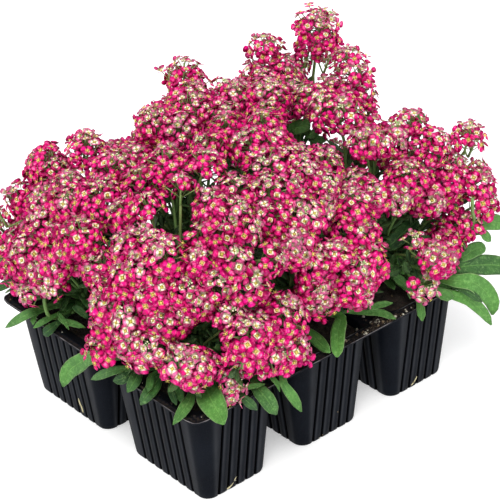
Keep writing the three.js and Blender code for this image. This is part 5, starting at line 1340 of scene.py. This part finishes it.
def add_head(b, h):
    rng = h.rng
    p, normal, size, depth, pale, along, radial = florets_of(h)
    n = len(p)
    if n:
        verts = np.broadcast_to(FV, (n, *FV.shape)).copy()
        r2 = (FV[:, :2] ** 2).sum(1)
        # young florets are cupped, old ones flat or bent back
        cup = (0.38 * (1 - smoothstep(0.5, 5.0, depth)))[:, None] + rng.normal(-0.05, 0.25, (n, 4))
        spread = rng.uniform(0.90, 1.10, (n, 4))
        for q in range(4):
            at = FP == q
            verts[:, at, 2] += cup[:, q : q + 1] * r2[at][None]
            verts[:, at, :2] *= spread[:, q, None, None]
        tone = np.zeros((n, len(FV), 4))
        tone[..., 0] = FT[None, :, 0]
        tone[..., 1] = pale[:, None]
        tone[..., 2] = np.clip(rng.uniform(0, 1, n) * 0.75 + 0.12 + h.tint, 0, 1)[:, None]
        tone[..., 3] = FT[None, :, 1]
        turn = turns_to(normal, rng.uniform(0, 6.28, n))
        copies(b, verts, [FF, FC], [0, 1], tone, turn, size, p)
        # pedicels run from the rachis to under each floret
        foot = h.centre + h.axis[None] * np.clip(along - 5.2, -h.low - 3, h.rz * 0.35)[:, None]
        end = p - normal * 0.25 * size[:, None] * 0.3
        d = unit(end - foot)
        u = unit(np.cross(d, UP[None] + 0.01))
        w = np.cross(d, u)
        ang = np.radians((0, 120, 240))
        ring = u[:, None] * np.cos(ang)[None, :, None] + w[:, None] * np.sin(ang)[None, :, None]
        v = np.concatenate([foot[:, None] + ring * 0.26, end[:, None] + ring * 0.30], axis=1)
        base = (np.arange(n) * 6)[:, None, None] + b.count
        quads = np.array([(0, 1, 4, 3), (1, 2, 5, 4), (2, 0, 3, 5)])
        caps = np.array([(2, 1, 0), (3, 4, 5)])
        b.f.append(((quads[None] + base).reshape(-1, 4), np.full(3 * n, 2), np.ones(3 * n, bool)))
        b.f.append(((caps[None] + base).reshape(-1, 3), np.full(2 * n, 2), np.ones(2 * n, bool)))
        b.v.append(v.reshape(-1, 3))
        tone = np.zeros((n, 6, 4))
        tone[:, 3:, 0] = 1.0
        tone[..., 2] = rng.uniform(0, 1, n)[:, None]
        b.t.append(tone.reshape(-1, 4))
        b.count += 6 * n
    # rachis
    path = np.array([h.centre - h.axis * (h.low + 6), h.centre - h.axis * 2, h.centre + h.axis * (h.rz * 0.45), h.apex - h.axis * 1.6])
    tube(b, path, np.array([0.75, 0.65, 0.55, 0.45]), 5, 2, np.column_stack([np.array([0.2, 0.4, 0.6, 0.8]), np.zeros(4), np.full(4, 0.3), np.zeros(4)]))
    # buds at the tip
    m = 10
    a = np.arange(m) * GOLDEN + rng.uniform(0, 6.28)
    side = unit(np.cross(h.axis, (0.3, 0.9, 0.2)))
    other = np.cross(h.axis, side)
    r = 1.9 * np.sqrt((np.arange(m) + 0.3) / m)
    nrm = unit(h.axis[None] * 1.2 + (side[None] * np.cos(a)[:, None] + other[None] * np.sin(a)[:, None]) * (r / 1.9)[:, None])
    at = h.apex + (side[None] * np.cos(a)[:, None] + other[None] * np.sin(a)[:, None]) * r[:, None] - h.axis[None] * (0.16 * r ** 2)[:, None] - h.axis[None] * 0.1
    v = np.array([(0.62, 0, 0), (0, 0.62, 0), (-0.62, 0, 0), (0, -0.62, 0), (0, 0, 0.80), (0, 0, -0.80)])
    f = np.array([(0, 1, 4), (1, 2, 4), (2, 3, 4), (3, 0, 4), (1, 0, 5), (2, 1, 5), (3, 2, 5), (0, 3, 5)])
    tone = np.zeros((m, 6, 4))
    tone[:, :, 0] = np.array([0.6, 0.6, 0.6, 0.6, 1.0, 0.0])[None]
    tone[..., 1] = (r / 1.9)[:, None]
    tone[..., 2] = rng.uniform(0, 1, m)[:, None]
    copies(b, v, [f], [3], tone, turns_to(nrm, rng.uniform(0, 6.28, m)), rng.uniform(0.75, 1.15, m), at)
    return n


# ---------------------------------------------------------------- stem leaves
def small_leaf_template():
    xs = (0.0, 0.24, 0.55, 0.84)
    ws = (0.22, 0.62, 1.0, 0.66)
    v, tone = [], []
    for x, w in zip(xs, ws):
        v += [(x, w, 0.035), (x, 0, 0.0), (x, -w, 0.035), (x, 0, -0.05)]
        tone += [(x, 1, 1), (x, 0, 1), (x, 1, 1), (x, 0, 0)]
    v.append((1.0, 0, 0.01))
    tone.append((1, 0, 1))
    q = []
    for i in range(3):
        for j in range(4):
            e = (j + 1) % 4
            q.append((4 * i + j, 4 * i + e, 4 * i + 4 + e, 4 * i + 4 + j))
    q = np.array(q)[:, ::-1]
    t = np.array([(12 + (j + 1) % 4, 12 + j, 16) for j in range(4)])[:, ::-1]
    t = t[:, ::-1]
    base = np.array([(0, 1, 2, 3)])
    return np.array(v, float), q, t, base, np.array(tone, float)


LV, LQ, LTRI, LBASE, LT = small_leaf_template()


def parent(h):
    """The bigger head next to a small or a topmost head, whose stem it shoots from."""
    if h.form == 1 or (h.rx > 6.1 and h.apex[2] < 150):
        return None
    near = [o for o in HEAD_LIST if o.plant == h.plant and o.rx > h.rx and np.linalg.norm(o.centre - h.centre) < 19]
    return max(near, key=lambda o: o.rx) if near else None


def make_stems(k):
    """The branched stems of one plant, and the narrow leaves along them."""
    cell = CELLS[k]
    cx, cy = cell_centre(cell)
    rng = np.random.default_rng(700 + k)
    b, g = Build(), Build()
    place, normal, turn, size, tint, bend = [], [], [], [], [], []
    crown = spline([(cx, cy, SOIL_Z - 1.5), (cx + 0.3, cy - 0.2, SOIL_Z + 2), (cx, cy, SOIL_Z + 6), (cx, cy, SOIL_Z + 9)], 7)
    tube(b, crown, np.array([2.6, 3.3, 3.1, 2.7, 2.3, 1.9, 1.4]), 9, 0, np.column_stack([np.linspace(0, 0.2, 7), np.zeros(7), np.full(7, 0.2), np.zeros(7)]))
    for h in HEAD_LIST:
        if h.plant != k:
            continue
        end = h.centre - h.axis * (h.low + 4)
        d = end - np.array([cx, cy, SOIL_Z])
        j = rng.normal(0, 3.0, 2)
        a = rng.uniform(0, 6.28)
        pts = [
            (cx + 1.1 * math.cos(a), cy + 1.1 * math.sin(a), SOIL_Z + 4.5),
            (cx + d[0] * 0.20 + 3.0 * math.cos(a), cy + d[1] * 0.20 + 3.0 * math.sin(a), SOIL_Z + 9 + d[2] * 0.10),
            (cx + d[0] * 0.50 + j[0], cy + d[1] * 0.50 + j[1], SOIL_Z + 8 + max(d[2], 4) * 0.44),
            tuple(end - unit(h.axis * 0.5 + unit(end - np.array([cx + d[0] * 0.50 + j[0], cy + d[1] * 0.50 + j[1], SOIL_Z + 8 + max(d[2], 4) * 0.44]))) * 8),
            tuple(end),
        ]
        o = parent(h)
        if o is not None:
            low = o.centre - o.axis * (o.low + 3)
            end = end - h.axis * 2
            pts = [tuple(low), tuple((low + end) / 2 - UP * 0.8), tuple(end)]
            p = spline(pts, 5)
            tube(b, p, np.linspace(0.55, 0.42, 5), 5, 0, np.column_stack([np.full(5, 1.0), np.zeros(5), np.full(5, rng.uniform(0, 1)), np.zeros(5)]))
            continue
        p = spline(pts, 11)
        t = np.linspace(0, 1, 11)
        tube(b, p, (1.0 - 0.42 * t) * (1.15 if h.apex[2] > 145 else 1.0), 5, 0, np.column_stack([t, np.zeros(11), np.full(11, rng.uniform(0, 1)), np.zeros(11)]))
        tan = unit(np.gradient(p, axis=0))
        m = 7
        s = np.linspace(0.24, 0.72 if h.apex[2] > 122 else 0.92, m) + rng.uniform(-0.05, 0.05, m)
        for n in range(m):
            f = min(max(s[n], 0.1), 1.0) * 10
            i = min(int(f), 9)
            at = p[i] + (p[i + 1] - p[i]) * (f - i)
            tg = tan[i]
            ang = n * GOLDEN + a
            x = unit(np.cross(tg, (0.2, 0.5, 0.8)))
            y = np.cross(tg, x)
            perp = x * math.cos(ang) + y * math.sin(ang)
            way = unit(tg * rng.uniform(0.35, 0.9) + perp * 0.85 + UP * 0.15)
            up = unit(tg * 0.8 - perp * 0.5 + rng.normal(0, 0.1, 3))
            up = unit(up - way * (up @ way))
            place.append(at)
            turn.append(np.column_stack([way, np.cross(up, way), up]))
            size.append((rng.uniform(9, 16), rng.uniform(1.5, 2.8), 7.0))
            tint.append(rng.uniform(0, 1))
            bend.append(rng.uniform(-0.035, 0.01))
    # twigs that carry the high leaves
    for plant, half, lt, blunt, points in LEAVES:
        root, high = leaf_root(k, points[0])
        if plant == k and high:
            d = root - np.array([cx, cy, SOIL_Z])
            p = spline([(cx, cy, SOIL_Z + 5), (cx + d[0] * 0.45, cy + d[1] * 0.45, SOIL_Z + 5 + d[2] * 0.42), tuple(root + unit(np.array(points[0]) - root) * 0.6)], 9)
            tube(b, p, np.linspace(0.8, 0.5, 9), 5, 0, np.column_stack([np.linspace(0, 1, 9), np.zeros(9), np.full(9, 0.4), np.zeros(9)]))
    for plant, radius, points in STALKS:
        if plant == k:
            p = spline([(cx, cy, SOIL_Z + 3), ((cx + points[0][0]) / 2, (cy + points[0][1]) / 2, (SOIL_Z + 3 + points[0][2]) / 2)] + list(points), 14)
            tube(b, p, np.linspace(radius, radius * 0.8, 14), 6, 0, np.column_stack([np.full(14, 1.0), np.zeros(14), np.full(14, 0.5), np.zeros(14)]))
    b.make("plant_" + NAMES[k] + "_branches", [STEM], "stem", ["plant_" + NAMES[k] + "_stems"])
    n = len(place)
    verts = np.broadcast_to(LV, (n, *LV.shape)).copy()
    verts[..., 2] += np.array(bend)[:, None] * LV[None, :, 0] ** 2 * 5
    tone = np.zeros((n, len(LV), 4))
    tone[..., 0], tone[..., 1], tone[..., 3] = LT[None, :, 0], LT[None, :, 1], LT[None, :, 2]
    tone[..., 2] = np.array(tint)[:, None]
    copies(g, verts, [LQ, LTRI, LBASE], [0, 0, 0], tone, np.array(turn), np.array(size)[:, None, :], np.array(place))
    g.make("plant_" + NAMES[k] + "_stem_leaves", [STEM_LEAF], "leaf")


# ------------------------------------------------------------------- assembly
make_tray()
total = 0
for k in range(6):
    make_soil(k)
    make_leaves(k)
    make_stems(k)
    for group in range(1, 7):
        b = Build()
        for h in HEAD_LIST:
            if h.plant == k and h.group == group:
                total += add_head(b, h)
        name = "plant_" + NAMES[k] + "_flowers_" + str(group)
        b.make(name + "_bloom", [PETAL, CENTRE, PEDICEL, BUD], "petal", [name])
make_spill()

# ---------------------------------------------------------------------- stage
me = bpy.data.meshes.new("floor")
me.from_pydata([(-9, -9, 0), (9, -9, 0), (9, 9, 0), (-9, 9, 0)], [], [(0, 1, 2, 3)])
floor = bpy.data.objects.new("floor", me)
bpy.context.scene.collection.objects.link(floor)
floor_mat = bpy.data.materials.new("floor")
floor_mat.use_nodes = True
p = floor_mat.node_tree.nodes["Principled BSDF"]
p.inputs["Base Color"].default_value = (0.80, 0.80, 0.80, 1)
p.inputs["Emission Color"].default_value = (1, 1, 1, 1)
p.inputs["Emission Strength"].default_value = 0.34
p.inputs["Roughness"].default_value = 0.9
p.inputs["Specular IOR Level"].default_value = 0.1
me.materials.append(floor_mat)
floor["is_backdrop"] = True

# --------------------------------------------------------------------- camera
F_PIX, AZ, EL, ROLL = 1915.4, math.radians(51.02), math.radians(30.38), math.radians(-3.30)
TARGET = np.array([178.22, 173.79, 0.0])
DISTANCE = 1100.8
fwd = np.array([math.cos(AZ) * math.cos(EL), math.sin(AZ) * math.cos(EL), -math.sin(EL)])
right = np.array([math.sin(AZ), -math.cos(AZ), 0.0])
upward = np.cross(right, fwd)
x_axis = math.cos(ROLL) * right + math.sin(ROLL) * upward
y_axis = -math.sin(ROLL) * right + math.cos(ROLL) * upward
eye = (TARGET - fwd * DISTANCE) * 0.001 + ORIGIN
camera_data = bpy.data.cameras.new("camera")
camera_data.sensor_width = 36.0
camera_data.lens = 36.0 * F_PIX / 500
camera_data.clip_start, camera_data.clip_end = 0.05, 50
camera = bpy.data.objects.new("camera", camera_data)
bpy.context.scene.collection.objects.link(camera)
camera.matrix_world = Matrix([
    [x_axis[0], y_axis[0], -fwd[0], eye[0]],
    [x_axis[1], y_axis[1], -fwd[1], eye[1]],
    [x_axis[2], y_axis[2], -fwd[2], eye[2]],
    [0, 0, 0, 1],
])
bpy.context.scene.camera = camera


# --------------------------------------------------------------------- lights
def area(name, az, el, dist, size, watts, colour=(1, 1, 1)):
    """A square lamp that looks at the plants from azimuth az (0 is -Y, growing towards +X) and elevation el."""
    a, e = math.radians(az), math.radians(el)
    back = np.array([math.sin(a) * math.cos(e), -math.cos(a) * math.cos(e), math.sin(e)])
    data = bpy.data.lights.new(name, "AREA")
    data.energy, data.size, data.color = watts, size, colour
    ob = bpy.data.objects.new(name, data)
    ob.location = back * dist + np.array([0, 0, 0.08])
    z = back
    x = unit(np.cross(UP, z))
    y = np.cross(z, x)
    ob.matrix_world = Matrix([[x[0], y[0], z[0], ob.location[0]], [x[1], y[1], z[1], ob.location[1]], [x[2], y[2], z[2], ob.location[2]], [0, 0, 0, 1]])
    bpy.context.scene.collection.objects.link(ob)


sun = bpy.data.lights.new("key", "SUN")
sun.energy, sun.angle, sun.color = 2.00, math.radians(28), (1.0, 0.985, 0.96)
sun_ob = bpy.data.objects.new("key", sun)
bpy.context.scene.collection.objects.link(sun_ob)
sun_ob.rotation_euler = (math.radians(30), 0, math.radians(-47))
area("fill", -39, 30, 4.0, 2.6, 22.0, (0.97, 0.985, 1.0))
world = bpy.data.worlds.new("studio")
world.use_nodes = True
world.node_tree.nodes["Background"].inputs[0].default_value = (0.97, 0.985, 1.0, 1)
world.node_tree.nodes["Background"].inputs[1].default_value = 1.00
bpy.context.scene.world = world
bpy.context.scene.view_settings.view_transform = "Standard"
bpy.context.scene.view_settings.look = "None"

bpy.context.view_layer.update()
tris = {o.name: sum(len(q.vertices) - 2 for q in o.data.polygons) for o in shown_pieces() if o.type == "MESH"}
print("FLORETS", total, "TRIANGLES", sum(tris.values()), "LARGEST", max(tris.values()))
